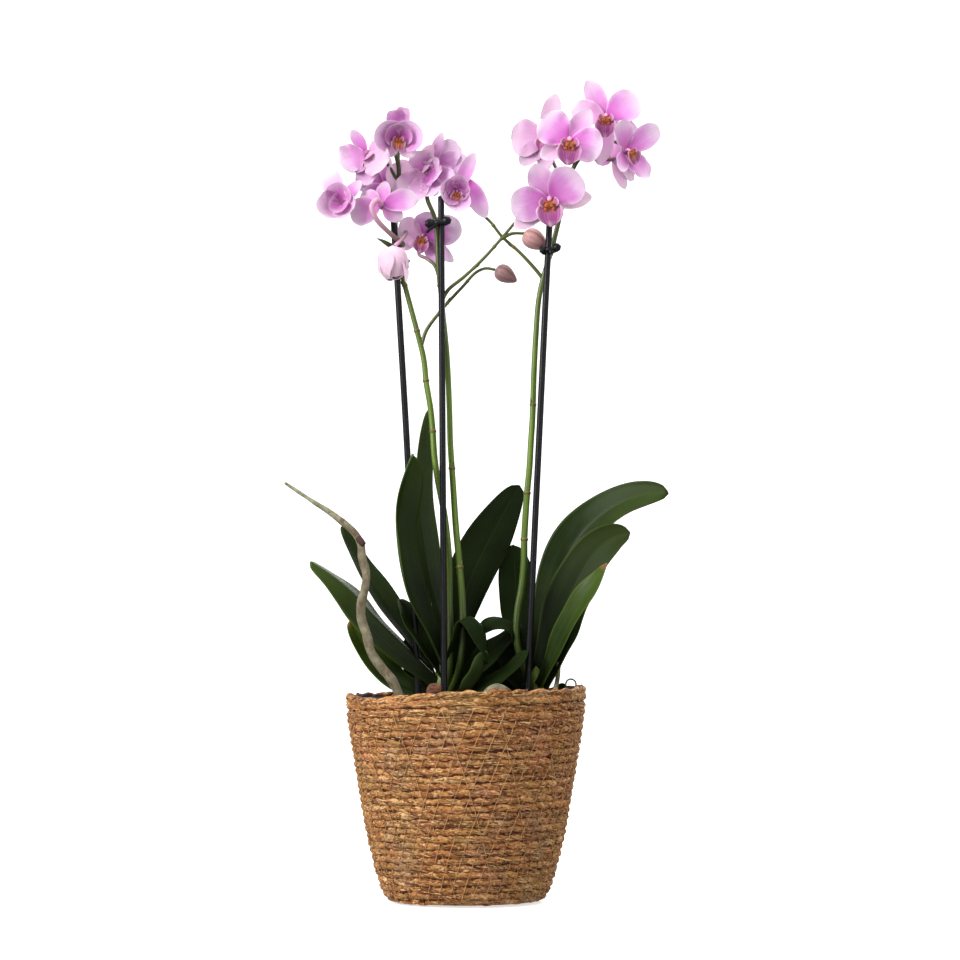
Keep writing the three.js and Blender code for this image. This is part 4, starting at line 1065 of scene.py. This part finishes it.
def build_clips():
    """Each clip is a ring round the stick and the stem, two small wings to squeeze, and a tail."""
    for side, (centre, roll, wings, (tail_x, tail_z)) in CLIPS.items():
        shape = Shape()
        tilt = np.asarray(Matrix.Rotation(math.radians(-roll), 3, "Y"))

        def place(points):
            return (np.asarray(points) @ tilt.T + centre) * MM

        turn = np.linspace(0, TAU, 36)
        ring = np.column_stack([CLIP_RING[0] * np.cos(turn), CLIP_RING[1] * np.sin(turn), np.zeros(36)])
        add_tube(shape, place(ring), [CLIP_RADIUS * MM] * 2, 10)
        for way, reach in zip((-1, 1), wings):
            path = [(way * 2.5, -4.5, 0), (way * 4.5, -5.5, 0.3), (way * reach, -5.8, way * 0.4)]
            add_tube(shape, smooth_curve(place(path), 10), [2.2 * MM, 2.9 * MM, 2.2 * MM], 12, oval(1 / 1.35))
        tail = [(0, -5.5, 0), (tail_x * 0.5, -6.5, tail_z * 0.5), (tail_x, -7, tail_z)]
        add_tube(shape, smooth_curve(place(tail), 8), [1.1 * MM, 1.0 * MM], 8)
        shape.piece(f"clip_{side}", STICK, "black_stick", f"stem_clip_{side}")


def build_plant_stems():
    for side, (x, y, top) in PLANT_STEMS.items():
        shape = Shape()
        path = curve_mm([(x, y, 100), (x, y, 118), (x, y, top - 6), (x, y, top - 1)], 16)
        add_tube(shape, path, np.array(PLANT_STEM_RADII) * MM, 16, lambda turn, share:
                 1 + 0.06 * np.cos(3 * turn + 5 * share) + 0.03 * np.sin(40 * share), olive=0.3)
        shape.piece(f"crown_{side}", STEM, "plant_stem", f"plant_stem_{side}")


# Flowers
# How full each outline is, where it is widest, its share of width at the heart, its cup and its thickness
TEPAL_FORMS = {
    "petal": (0.42, 1.2, 0.2, 0.08, 0.5),
    "sepal": (0.56, 1.0, 0.3, 0.12, 0.55),
    "hood": (0.5, 1.05, 0.6, 0.06, 0.5),
}


def flower_matrix(heart, turn, tilt):
    """The flower's frame: X to its right, Y up and Z the way it faces, as the viewer sees it."""
    a, b = math.radians(turn), math.radians(tilt)
    facing = Vector((math.sin(a) * math.cos(b), -math.cos(a) * math.cos(b), math.sin(b)))
    right = Vector((math.cos(a), math.sin(a), 0))
    top = facing.cross(right)
    matrix = Matrix((right, top, facing)).transposed()
    return np.array(matrix), np.array(heart, float)


def grid_values(u, v):
    return dict(along=np.repeat(np.ravel(u), np.size(v)), across=np.tile(np.ravel(v), np.size(u)))


def add_tepal(shape, frame, tone, kind, angle, length, width, lift=0, curl=0, back=0.0, pale=0.0, deep=0.0,
              twist=0, cup=None, hook=1, shift=(0, 0), crumple=1.0, glow=1.0):
    """One tepal: it leaves the heart at an angle in the flower's plane, lifts toward the viewer by lift
    degrees and bends on by curl degrees to its tip, late when hook is above 1. A hood wraps the heart."""
    power, peak, claw, form_cup, thickness = TEPAL_FORMS[kind]
    u = 0.5 - 0.5 * np.cos(math.pi * np.linspace(0, 1, 18)[:, None])
    places = np.linspace(-1, 1, 13)
    v = np.sin(places * math.pi / 2)
    bend = np.radians(lift + curl * u ** hook)
    steps = np.diff(u, axis=0, prepend=0)
    reach = (0.3 if kind == "hood" else 1.2) + np.cumsum(steps * np.cos(bend), axis=0) * length
    up = np.cumsum(steps * np.sin(bend), axis=0) * length
    half = width / 2 * np.maximum(np.sin(math.pi * u ** peak) ** power, claw * (1 - u) ** 2 + 0.03)
    bowl = (form_cup if cup is None else cup) * width * v ** 2 * np.sin(math.pi * u)
    seed = rng.uniform(0, 6)
    ripple = 0.035 * crumple * width * np.sin(5 * u * math.pi + seed) * v ** 2 * np.sign(v)
    crease = -0.02 * width * np.exp(-(v / 0.12) ** 2) * np.sin(math.pi * u)
    roll = math.radians(twist) * u
    side = half * v * np.cos(roll)
    forward = up + bowl + ripple + crease + back + half * v * np.sin(roll)
    a = math.radians(angle)
    if kind == "hood":
        turned = a + side / np.maximum(reach, 0.42 * length)
        x, y = reach * np.cos(turned), reach * np.sin(turned)
    else:
        x = reach * math.cos(a) - side * math.sin(a) + shift[0]
        y = reach * math.sin(a) + side * math.cos(a) + shift[1]
    thick = thickness * (0.35 + 0.65 * (1 - np.abs(v) ** 3)) * (1 - 0.5 * u)
    matrix, heart = frame
    top, under = ((np.stack([x, y, forward + way * thick / 2], -1) @ matrix.T + heart) * MM
                  for way in (1, -1))
    # A tepal's light gain brightens it as painted light.
    add_sheet(shape, top, under, tint=rng.random(), pale=pale, deep=deep, tone=tone * glow,
              **grid_values(u, places))


def lip_points(frame, angle, points):
    """Moves points into the flower's place; their -Y is the way that the lip hangs and their +Z its front."""
    matrix, heart = frame
    a = math.radians(angle)
    turn = np.array([[-math.sin(a), -math.cos(a), 0], [math.cos(a), -math.sin(a), 0], [0, 0, 1]])
    return (points @ turn.T @ matrix.T + heart) * MM


def add_lip(shape, frame, angle, size, warm):
    """The lip: a scooped middle lobe, two side lobes that stand beside the column, and a gold callus."""
    def add_lobe(u, v, x, y, z, thick, order=1, **values):
        top, under = (lip_points(frame, angle, np.stack([x, y, z + way * thick / 2], -1))[::order]
                      for way in (1, -1))
        add_sheet(shape, top, under, tint=rng.random(), **grid_values(u, v), **values)

    u = np.linspace(0, 1, 16)[:, None]
    v = np.linspace(-1, 1, 15)[None, :]
    half = size * np.interp(u, [0, 0.14, 0.34, 0.52, 0.72, 0.9, 1], [0.17, 0.27, 0.42, 0.49, 0.47, 0.37, 0.2])
    keel = np.exp(-(v / 0.16) ** 2) * u ** 2
    y = -size * (0.08 + 0.9 * u - 0.06 * np.sin(math.pi * u) - 0.09 * v ** 2 * u)
    z = size * (0.2 + 0.3 * np.sin(math.pi * (0.05 + 0.75 * u)) - 0.14 * u)
    z = z + size * (0.2 * v ** 2 * (1 - 0.5 * u) + 0.07 * keel)
    tip = 0.8 * np.clip((u - 0.8) * 5, 0, 1) * np.exp(-(v / 0.3) ** 2)
    add_lobe(u, v, half * v, y, z, 0.5, gold=np.clip(1.6 - 2.3 * u / warm - 0.7 * np.abs(v), 0, 1),
             pale=np.clip((np.abs(v) - 0.7) * 1.6, 0, 0.4) * u + tip)

    s, w = np.meshgrid(np.linspace(0, 1, 10), np.linspace(0, 1, 8), indexing="ij")
    reach = 0.12 * size + size * 0.24 * np.sin(math.pi * (0.16 + 0.7 * s)) * w
    y = size * (-0.44 + 0.36 * s + 0.1 * w)
    z = size * (0.28 + 0.46 * w * (1 - 0.3 * w))
    for way in (-1, 1):
        add_lobe(s[:, 0], w[0], way * reach, y, z, 0.4, way, gold=np.clip(0.9 - 1.4 * w, 0, 1),
                 pale=np.clip(0.3 * w - 0.1, 0, 1))
    for way in (-1, 1):
        for x, y, fat in ((0.09, -0.25, 0.1), (0.14, -0.38, 0.08)):
            knob = lip_points(frame, angle, np.array([way * x, y, 0.5]) * size)
            half = np.array([0.9, 1.2, 0.9]) * fat * size * MM
            add_ball(shape, knob, half, 6, 8, tint=0.5 + 0.2 * way, gold=1.0, across=0.3)


def build_lip(name, frame, angle, size, drop=0, warm=1.0):
    """The lip, lowered by drop, and the column, which points forward above it and ends in a pale cap."""
    matrix, heart = frame
    lip = Shape()
    lowered = heart - lip_points((matrix, 0), angle, np.array([0, drop, 0])) / MM
    add_lip(lip, (matrix, lowered), angle, size, warm)
    lip.piece(f"{name}_lip", LIP, "petal")
    column = Shape()
    points = np.array([(0, 0.03, 0), (0, 0.05, 0.14), (0, 0.02, 0.3), (0, -0.07, 0.4)]) * size
    path = smooth_curve(lip_points(frame, angle, points), 10)
    add_tube(column, path, np.array([0.1, 0.09, 0.08, 0.055]) * size * MM, 10)
    column.piece(f"{name}_column", COLUMN, "petal")


def tepal(kind, angle, length, width, lift=0, curl=0, **more):
    return dict(more, kind=kind, angle=angle, length=length, width=width, lift=lift, curl=curl)


sepal = partial(tepal, "sepal", back=-1.5)
petal = partial(tepal, "petal")
hood = partial(tepal, "hood", pale=0.3)

# Each flower: heart, turn to its right, tilt upward, brightness (own colour with painted light and shade),
# tepals, and the lip's angle, size, drop and warmth
FLOWERS = {
    "right_low": ((50.5, -30, 421), -6, 0, 0.75, [
        sepal(114, 23, 16, 4, 8, pale=0.15), sepal(218, 26, 13, 0, 12, pale=0.5, glow=1.15),
        sepal(5, 24, 13, -6, 0, pale=0.9, glow=1.4), petal(38, 22.5, 25, 12, -8),
        petal(191, 22.8, 22, 10, -10)], 274, 17),
    "right_front": ((62, -25, 458), 4, 0, 1.1, [
        sepal(55, 22, 13, 4, 8, pale=0.25), sepal(212, 19, 12, 0, 10, pale=0.5),
        sepal(300, 12, 9, -8, 0, pale=0.4), petal(143, 20, 23, 10, -6),
        petal(-14, 19.5, 22, 10, -6)], 266, 16),
    "right_top": ((85, -10, 475), -2, 4, 0.94, [
        sepal(116, 24.5, 13, 2, 8, pale=0.15), sepal(-29, 22, 12, -4, 0, pale=0.4),
        sepal(263, 27, 14, -8, 0, pale=0.35), petal(28, 22, 21, 8, -6),
        petal(168, 20, 16, 6, -6, pale=0.4)], 268, 13.8),
    "right_outer": ((97, -17, 453.4), 28, -4, 1.0, [
        petal(110, 18, 14, 14, 0, pale=0.1), petal(38, 24, 15, 10, 4),
        sepal(-48, 21, 13, 14, 8, deep=0.2, crumple=2), sepal(240, 17.5, 10, 24, 16, pale=0.1),
        sepal(280, 18, 9, 6, 4, pale=0.5), sepal(84, 15, 9, -6, 0, pale=0.5)], 308, 10, 0, 1.5),
    "right_back": ((49, 9, 466), -16, 4, 0.72, [
        sepal(77, 26.5, 13, 4, 6, pale=0.6), sepal(228, 22, 13, 4, 8, pale=0.4),
        sepal(270, 20, 12, 0, 6, pale=0.4), petal(182, 20.5, 24, 6, -4, pale=0.4),
        petal(0, 17, 18, 6, -4)], 260, 10),
    "right_rear": ((91, 14, 453), 150, 8, 0.85, [
        sepal(100, 15, 9, 8, 6, pale=0.3), sepal(258, 19, 8, 14, 10, pale=0.5),
        sepal(232, 17, 8, 14, 10, pale=0.5), petal(20, 15, 13, 10, 0), petal(165, 15, 13, 10, 0)], 270, 8),
    "left_top": ((-41, -13, 460.5), 2, -14, 0.98, [
        sepal(97, 22.5, 12, -8, 104, hook=2.4, deep=0.15, cup=0.1, twist=16, crumple=2),
        sepal(81, 24, 10, -8, 108, hook=3, pale=0.15, cup=0.14, twist=-18, crumple=2),
        hood(151, 20.5, 25, 8, 58, pale=0.1, deep=0.1), hood(29, 20.5, 25, 8, 58, pale=0.05, deep=0.22),
        hood(90, 15, 26, 14, 56, deep=0.35, pale=0), sepal(-44, 13, 11, 8, 16, pale=0.5, crumple=2),
        sepal(222, 13, 11, 10, 20, pale=0.4)], 268, 9.4, -2.6, 2.2),
    # In left_upper the deep sepal at -116 degrees paints the magenta shade under the flower.
    "left_upper": ((-60.5, -9, 453.5), -16, 2, 0.8, [
        sepal(124, 16, 8, 6, 12, deep=0.15), petal(204, 16.5, 19, 14, 20, pale=0.2, crumple=2.5),
        petal(-38, 20.5, 20, 24, 10, pale=0.65, crumple=2.5), sepal(-84, 21, 15, 4, 20, deep=0.1, crumple=3),
        sepal(-116, 15, 10, 10, 30, deep=0.25, crumple=2), sepal(20, 12, 9, 24, 10, pale=0.5),
        sepal(-60, 9, 8, 44, 30, deep=0.45)]),
    "left_outer": ((-75, -17, 422), -14, -4, 1.0, [
        sepal(118, 25, 14, 14, -66, pale=0.2), sepal(46, 16, 8, 10, -20),
        hood(206, 19, 24, 18, 56, pale=0.3, crumple=2), hood(-30, 18.5, 24, 18, 56, pale=0.2, crumple=3),
        hood(84, 16.5, 22, 20, 52, pale=0.1, deep=0.25), hood(268, 13, 18, 34, 42, pale=0.1, deep=0.3),
        sepal(150, 9, 8, 50, 24, deep=0.35)]),
    "left_front": ((-51, -24, 419), -10, 6, 0.86, [
        petal(196, 19.5, 18, -4, -12, pale=0.15), petal(13, 21, 14, -4, -12),
        sepal(-34, 14, 11, -8, -14, pale=0.2), sepal(146, 16, 11, -8, -16, pale=0.2),
        sepal(86, 15.5, 9, -6, -14, pale=0.1, deep=0.15)]),
    "left_low": ((-43.5, -21, 393.5), -6, -72, 1.02, [
        hood(90, 30, 40, -2, 172, pale=0.85, crumple=0.3),
        hood(162, 30.6, 38, -2, 172, pale=0.85, crumple=0.3),
        hood(234, 29.4, 40, -2, 172, pale=0.85, crumple=0.3),
        hood(306, 31, 38, -2, 172, pale=0.85, crumple=0.3), hood(18, 29, 40, -2, 172, pale=0.8, crumple=0.3),
        sepal(20, 28, 8, 46, 50, pale=0.6)]),
    "left_back": ((-50, 14, 437), -140, 10, 0.8, [
        sepal(90, 18, 11, 6, 6), sepal(216, 17, 12, 6, 8, pale=0.3), sepal(-36, 19, 13, 6, 8),
        petal(18, 21, 20, 8, 0), petal(162, 19, 19, 8, 0)], 270, 10),
    "middle_low": ((-26, -5, 403), -6, 0, 0.9, [
        sepal(78, 14, 15, 2, 6), sepal(-41, 23.5, 8.5, 0, 8), sepal(-64, 20, 8, 4, 8),
        petal(172, 15, 21, 8, -6, pale=0.5, crumple=2, glow=1.3),
        petal(12, 23, 19, 8, -6)], 262, 10.5, 0.8, 1.3),
    "middle_top": ((-24, -2, 442), -12, 8, 0.87, [
        petal(188, 24, 20, 10, -6, pale=0.65, crumple=2, glow=1.3),
        sepal(254, 25, 13, 34, -14, pale=0.3, crumple=2),
        sepal(52, 23, 10, 22, 10, pale=0.8, shift=(-8, -2), glow=1.3), petal(42, 25, 19, 4, 0, crumple=2.5),
        petal(10, 26, 20, 6, -6, crumple=2), sepal(66, 26, 8, 12, 10, pale=0.2),
        petal(112, 15, 15, 34, 20, pale=0.2, crumple=3.5),
        petal(330, 14, 15, 36, 16, deep=0.15, crumple=3.5), petal(290, 19, 14, 20, 10, crumple=3),
        petal(218, 20, 15, 20, 4, pale=0.4, crumple=2), petal(-24, 21, 15, 14, 10, pale=0.15, crumple=2.5),
        sepal(30, 15, 10, 44, 10, pale=0.3, crumple=3), sepal(70, 9, 8, 50, 20, deep=0.4, crumple=3)]),
    "middle_side": ((-6, -12, 429), 12, -4, 0.95, [
        sepal(66, 25.5, 9.5, 4, 10, pale=0.15), sepal(-64, 27, 12, 6, 6, deep=0.1, shift=(6, 9.5)),
        hood(96, 13, 20, 16, 50, deep=0.45, pale=0), hood(192, 16.5, 21, 16, 50, deep=0.25, pale=0.1),
        hood(262, 17.5, 22, 14, 50, pale=0.2),
        hood(4, 9.5, 18, 16, 46, deep=0.45, pale=0)], 262, 8.5, 0, 1.7),
}


def build_flowers():
    for name, (heart, turn, tilt, tone, tepals, *lip) in FLOWERS.items():
        frame = flower_matrix(heart, turn, tilt)
        shape = Shape()
        for each in tepals:
            add_tepal(shape, frame, tone, **each)
        matrix, place = frame
        throat = (place - matrix[:, 2] * 0.5) * MM
        # The throat ball is darkened as painted shade in the heart of the flower.
        add_ball(shape, throat, np.array([1.9, 1.9, 1.4]) * MM, 8, 12, matrix, tint=0.5, deep=0.7, tone=0.6)
        shape.piece(f"flower_{name}_tepals", PETAL, "petal", f"flower_{name}")
        if lip:
            build_lip(f"flower_{name}", frame, *lip)


# Spikes, buds and roots
def add_joint(shape, path, share, radius):
    """A thin brown ring with a small pointed scale leaf, where the stem has a joint."""
    index = int(np.clip(share * (len(path) - 1), 1, len(path) - 2))
    tangent = tangents_of(path)[index]
    base = path[index]
    ring = base + tangent * (np.linspace(-1.1, 1.1, 5) * MM)[:, None]
    add_tube(shape, ring, np.array([1, 1.12, 1.2, 1.12, 1]) * radius, 12, olive=0.4,
             joint=[0.1, 0.5, 1, 0.5, 0.1])
    side = carried_frames(path)[1 - index % 2][index]
    scale = np.array([base + side * radius * 0.6, base + side * radius * 1.05 + tangent * 2 * MM,
                      base + side * radius * 1.25 + tangent * 4 * MM])
    add_tube(shape, smooth_curve(scale, 7), [radius * 0.6, radius * 0.45, radius * 0.1], 8, oval(1, 1 / 1.5),
             olive=0.5, joint=0.25)


def build_spikes():
    for side, spike in SPIKES.items():
        shape = Shape()
        path = curve_mm(spike["main"], 150)
        radii = np.array(SPIKE_RADII) * MM
        height = path[:, 2]
        shade = np.clip((LEAF_SHADE - height) / 0.07, 0, 1) + np.clip((height - FLOWER_SHADE) / 0.02, 0, 0.65)
        add_tube(shape, path, radii, 14, olive=np.clip((height - OLIVE_START) / 0.12, 0, 1), shade=shade)
        for joint in spike["joints"]:
            share = float(np.argmin(np.abs(height - joint * MM))) / (len(path) - 1)
            add_joint(shape, path, share, float(np.interp(share, np.linspace(0, 1, len(radii)), radii)))
        for branch in spike["branches"]:
            twig = curve_mm(branch, 50)
            add_tube(shape, twig, np.array(BRANCH_RADII) * MM, 10, olive=0.85)
            for share in (0.12, 0.45, 0.72) if len(branch) > 4 else ():
                add_joint(shape, twig, share, 1.0 * MM)
        for number, points in enumerate(STALKS[side]):
            stalk = curve_mm(points, 26)
            pink = np.clip(np.linspace(-0.2, 1.1, 26), 0, 1) * (1.0 if (side, number) in PINK_STALKS else 0.2)
            thick = THICK_STALK_RADIUS if (side, number) == THICK_STALK else STALK_RADIUS
            shade = np.clip((stalk[:, 2] - FLOWER_SHADE) / 0.02, 0, 0.55)
            add_tube(shape, stalk, np.array([thick, thick, thick * 1.15]) * MM, 10, olive=0.6, pink=pink,
                     shade=shade)
        if side == "left":
            add_tube(shape, curve_mm(BRACT, 14), np.array(BRACT_RADII) * MM, 10, oval(1 / 2.2),
                     olive=0.5, shade=0.35)
        shape.piece(f"spike_{side}", STEM, "flower_stem", f"flower_spike_{side}")


def bud_form(points):
    turn = np.arctan2(points[:, 1], points[:, 0])
    ridge = 1 + 0.035 * np.cos(3 * turn)
    slim = 1 - 0.3 * points[:, 2]
    point = 1 + 0.12 * np.clip(points[:, 2] - 0.7, 0, 1) / 0.3
    return np.column_stack([points[:, 0] * slim * ridge, points[:, 1] * slim * ridge, points[:, 2] * point])


def build_buds():
    rows, columns = 22, 30
    seam = np.exp(-((np.cos(1.5 * circle(columns))) / 0.09) ** 2)
    seams = np.concatenate([np.tile(seam, rows - 1), [0.4, 0.6]])
    for name, (centre, point, length, width, tone) in BUDS.items():
        shape = Shape()
        aim = Vector(point).normalized().to_track_quat("Z", "X").to_matrix()
        half = np.array([width / 2, width / 2, length / 2]) * MM
        add_ball(shape, np.array(centre) * MM, half, rows, columns, aim, bud_form, seam=seams, tone=tone)
        shape.piece(f"{name}_egg", BUD, "bud", name)


def build_roots():
    for name, (points, radii) in ROOTS.items():
        shape = Shape()
        count = 90 if name == LONG_ROOT else 30
        path = curve_mm(points, count)
        lumps = slow_noise(count, 4, 0.13) + slow_noise(count, 2, 0.08)
        young = np.clip((path[:, 2] - YOUNG_ROOT_START) / 0.02, 0, 1) if name == LONG_ROOT else 0.2
        add_tube(shape, path, np.array(radii) * MM, 14,
                 lambda turn, share: (1 + lumps[:, None]) * (1 + 0.05 * np.cos(3 * turn + 12 * share)),
                 young=young, scar=0.0)
        if name == LONG_ROOT:
            add_tube(shape, curve_mm(ROOT_STUB, 8), [2 * MM, 2.1 * MM, 1.7 * MM], 10, scar=1.0)
        shape.piece(f"{name}_skin", ROOT, "aerial_root", name)


# Leaves
def leaf_outline(u, tip):
    half_way = np.clip(u / 0.5, 0, 1)
    opening = 0.46 + 0.54 * half_way ** 2 * (3 - 2 * half_way)
    power, start = TIPS[tip]
    closing = np.clip((u - start) / (1 - start), 0, 1)
    return opening * np.sqrt(np.clip(1 - closing ** power, 0, 1))


def add_blade(shape, number, spine, face, width, fold, tip, edge, tone):
    """One thick strap leaf along its midrib, with a groove along the middle and thin edges."""
    rows, columns = 56, 21
    path = curve_mm(spine, rows)
    u = np.linspace(0, 1, rows)[:, None]
    v = np.linspace(-1, 1, columns)
    forward = tangents_of(path)
    side = unit(np.cross(forward, np.array(face, float)))
    upward = np.cross(side, forward)[:, None, :]
    half = np.maximum(leaf_outline(u, tip) * width / 2, 0.25) * MM
    fold = math.radians(fold) * (1.25 - 0.5 * u)
    wave = 0.05 * np.sin(4.5 * u * math.pi + number) * width * MM
    soft = np.sqrt(v ** 2 + 0.012) - math.sqrt(0.012)
    camber = -0.10 * (v ** 2) * np.sin(np.abs(v) * math.pi)
    across = half * v * np.cos(fold)
    raised = half * (soft * np.sin(fold) + camber) + wave * v ** 2 * np.sign(v) * u
    thick = (0.45 + 0.55 * (1 - np.abs(v) ** 2.5)) * (1.0 - 0.45 * u) * MM
    middle = path[:, None, :] + side[:, None, :] * across[..., None]
    wither = np.clip((u - 0.93) / 0.06, 0, 1) * (tip in DRY_TIPS) * np.ones(columns)
    top, under = (middle + upward * (raised + way * thick)[..., None] for way in (1, -1))
    add_sheet(shape, top, under, tint=float(number), yellow=edge, wither=wither, tone=tone, lower_side=0.0,
              **grid_values(u, v))
    shape.values["lower_side"][-1][rows * columns:] = 1


def build_leaves():
    for i, leaf in enumerate(LEAVES):
        shape = Shape()
        add_blade(shape, i, *leaf)
        young = i == YOUNG_LEAF
        node = f"leaf_{i + 1:02d}"
        skin = YOUNG if young else SHADED_LEAF if leaf[-1] < SHADED_TONE else LEAF
        shape.piece(f"{node}_blade", skin, "young_leaf" if young else "leaf", node)
    inner = Shape()
    for i, blade in enumerate(INNER_BLADES):
        # The inner blades are dark, with the shaded skin, as painted shade in the middle of the plant.
        add_blade(inner, 20 + i, *blade, "point", 0.05, 0.38)
    inner.piece("inner_leaf_blades", SHADED_LEAF, "leaf")


# Camera, light and floor, all in metres
CAMERA_PLACE = (0.0085, -1.8, 0.150)
CAMERA_TARGET = (0.0085, 0, 0.2545)
CAMERA_LENS = 111.34
CAMERA_SENSOR = 36
WORLD_LIGHT = 0.55
# Name, place, target, size and power of the lights
LIGHTS = [
    ("key", (-1.5, -1.1, 1.1), (0, 0, 0.2), 1.0, 54), ("fill", (1.5, -1.4, 0.7), (0, 0, 0.3), 1.4, 7),
    ("top", (0.5, -0.2, 1.9), (0, 0, 0.3), 1.2, 25), ("back", (0.6, 1.4, 1.1), (0, 0, 0.4), 1.2, 17)]
# The floor runs from the front to the back wall, which rises from a bend; a round wall stands far outside it
FLOOR_FRONT = -8.0
FLOOR_BACK = 2.6
FLOOR_HALF_WIDTH = 8.0
BEND_RADIUS = 0.9
BACK_HEIGHT = 4.8
WALL_RADIUS = 7.0
WALL_FOOT = -0.5
WALL_TOP = 6.0


def put(name, data, place, target):
    """Puts a camera or a light at a place and turns it toward a target."""
    thing = bpy.data.objects.new(name, data)
    thing.location = place
    bpy.context.scene.collection.objects.link(thing)
    thing.rotation_euler = (Vector(target) - thing.location).to_track_quat("-Z", "Y").to_euler()
    return thing


def add_backdrop(name, vertices, faces, material):
    mesh = bpy.data.meshes.new(name)
    mesh.from_pydata(vertices, [], faces)
    mesh.polygons.foreach_set("use_smooth", [True] * len(faces))
    mesh.materials.append(material)
    backdrop = bpy.data.objects.new(name, mesh)
    bpy.context.scene.collection.objects.link(backdrop)
    backdrop.visible_diffuse = False
    backdrop.visible_glossy = False
    return backdrop


def set_the_stage():
    scene = bpy.context.scene
    camera = bpy.data.cameras.new("camera")
    camera.lens = CAMERA_LENS
    camera.sensor_width = CAMERA_SENSOR
    scene.camera = put("camera", camera, CAMERA_PLACE, CAMERA_TARGET)
    for name, place, target, size, power in LIGHTS:
        light = bpy.data.lights.new(name, "AREA")
        light.shape = "SQUARE"
        light.size = size
        light.energy = power
        put(name, light, place, target)

    world = bpy.data.worlds.new("world")
    world.use_nodes = True
    background = world.node_tree.nodes["Background"]
    background.inputs[0].default_value = (1, 1, 1, 1)
    background.inputs[1].default_value = WORLD_LIGHT
    scene.world = world
    scene.view_settings.view_transform = "Standard"

    paper = Nodes("studio_paper", 0.9, Base_Color=(0.9, 0.9, 0.9, 1), Emission_Color=(1, 1, 1, 1),
                  Emission_Strength=0.6).material
    start = FLOOR_BACK - BEND_RADIUS
    line = [(FLOOR_FRONT, 0.0), (start, 0.0)]
    line += [(start + BEND_RADIUS * math.sin(a), BEND_RADIUS - BEND_RADIUS * math.cos(a))
             for a in np.linspace(0.1, math.pi / 2, 14)]
    line += [(FLOOR_BACK, BACK_HEIGHT)]
    vertices = [(x, y, z) for y, z in line for x in (-FLOOR_HALF_WIDTH, FLOOR_HALF_WIDTH)]
    faces = [(2 * i, 2 * i + 1, 2 * i + 3, 2 * i + 2) for i in range(len(line) - 1)]
    add_backdrop("studio_floor", vertices, faces, paper)

    angle = circle(64)
    vertices = [(WALL_RADIUS * math.cos(a), WALL_RADIUS * math.sin(a), z)
                for z in (WALL_FOOT, WALL_TOP) for a in angle]
    wall = add_backdrop("studio_wall", vertices, grid_faces(2, len(angle), True), paper)
    wall.visible_transmission = False
    wall.visible_shadow = False


set_the_stage()
for build in (build_basket, build_basket_base, build_rim, build_stitches, build_grass_blades,
              build_liner_and_pot, build_bark, build_sticks, build_clips, build_plant_stems, build_spikes,
              build_flowers, build_buds, build_roots, build_leaves):
    build()
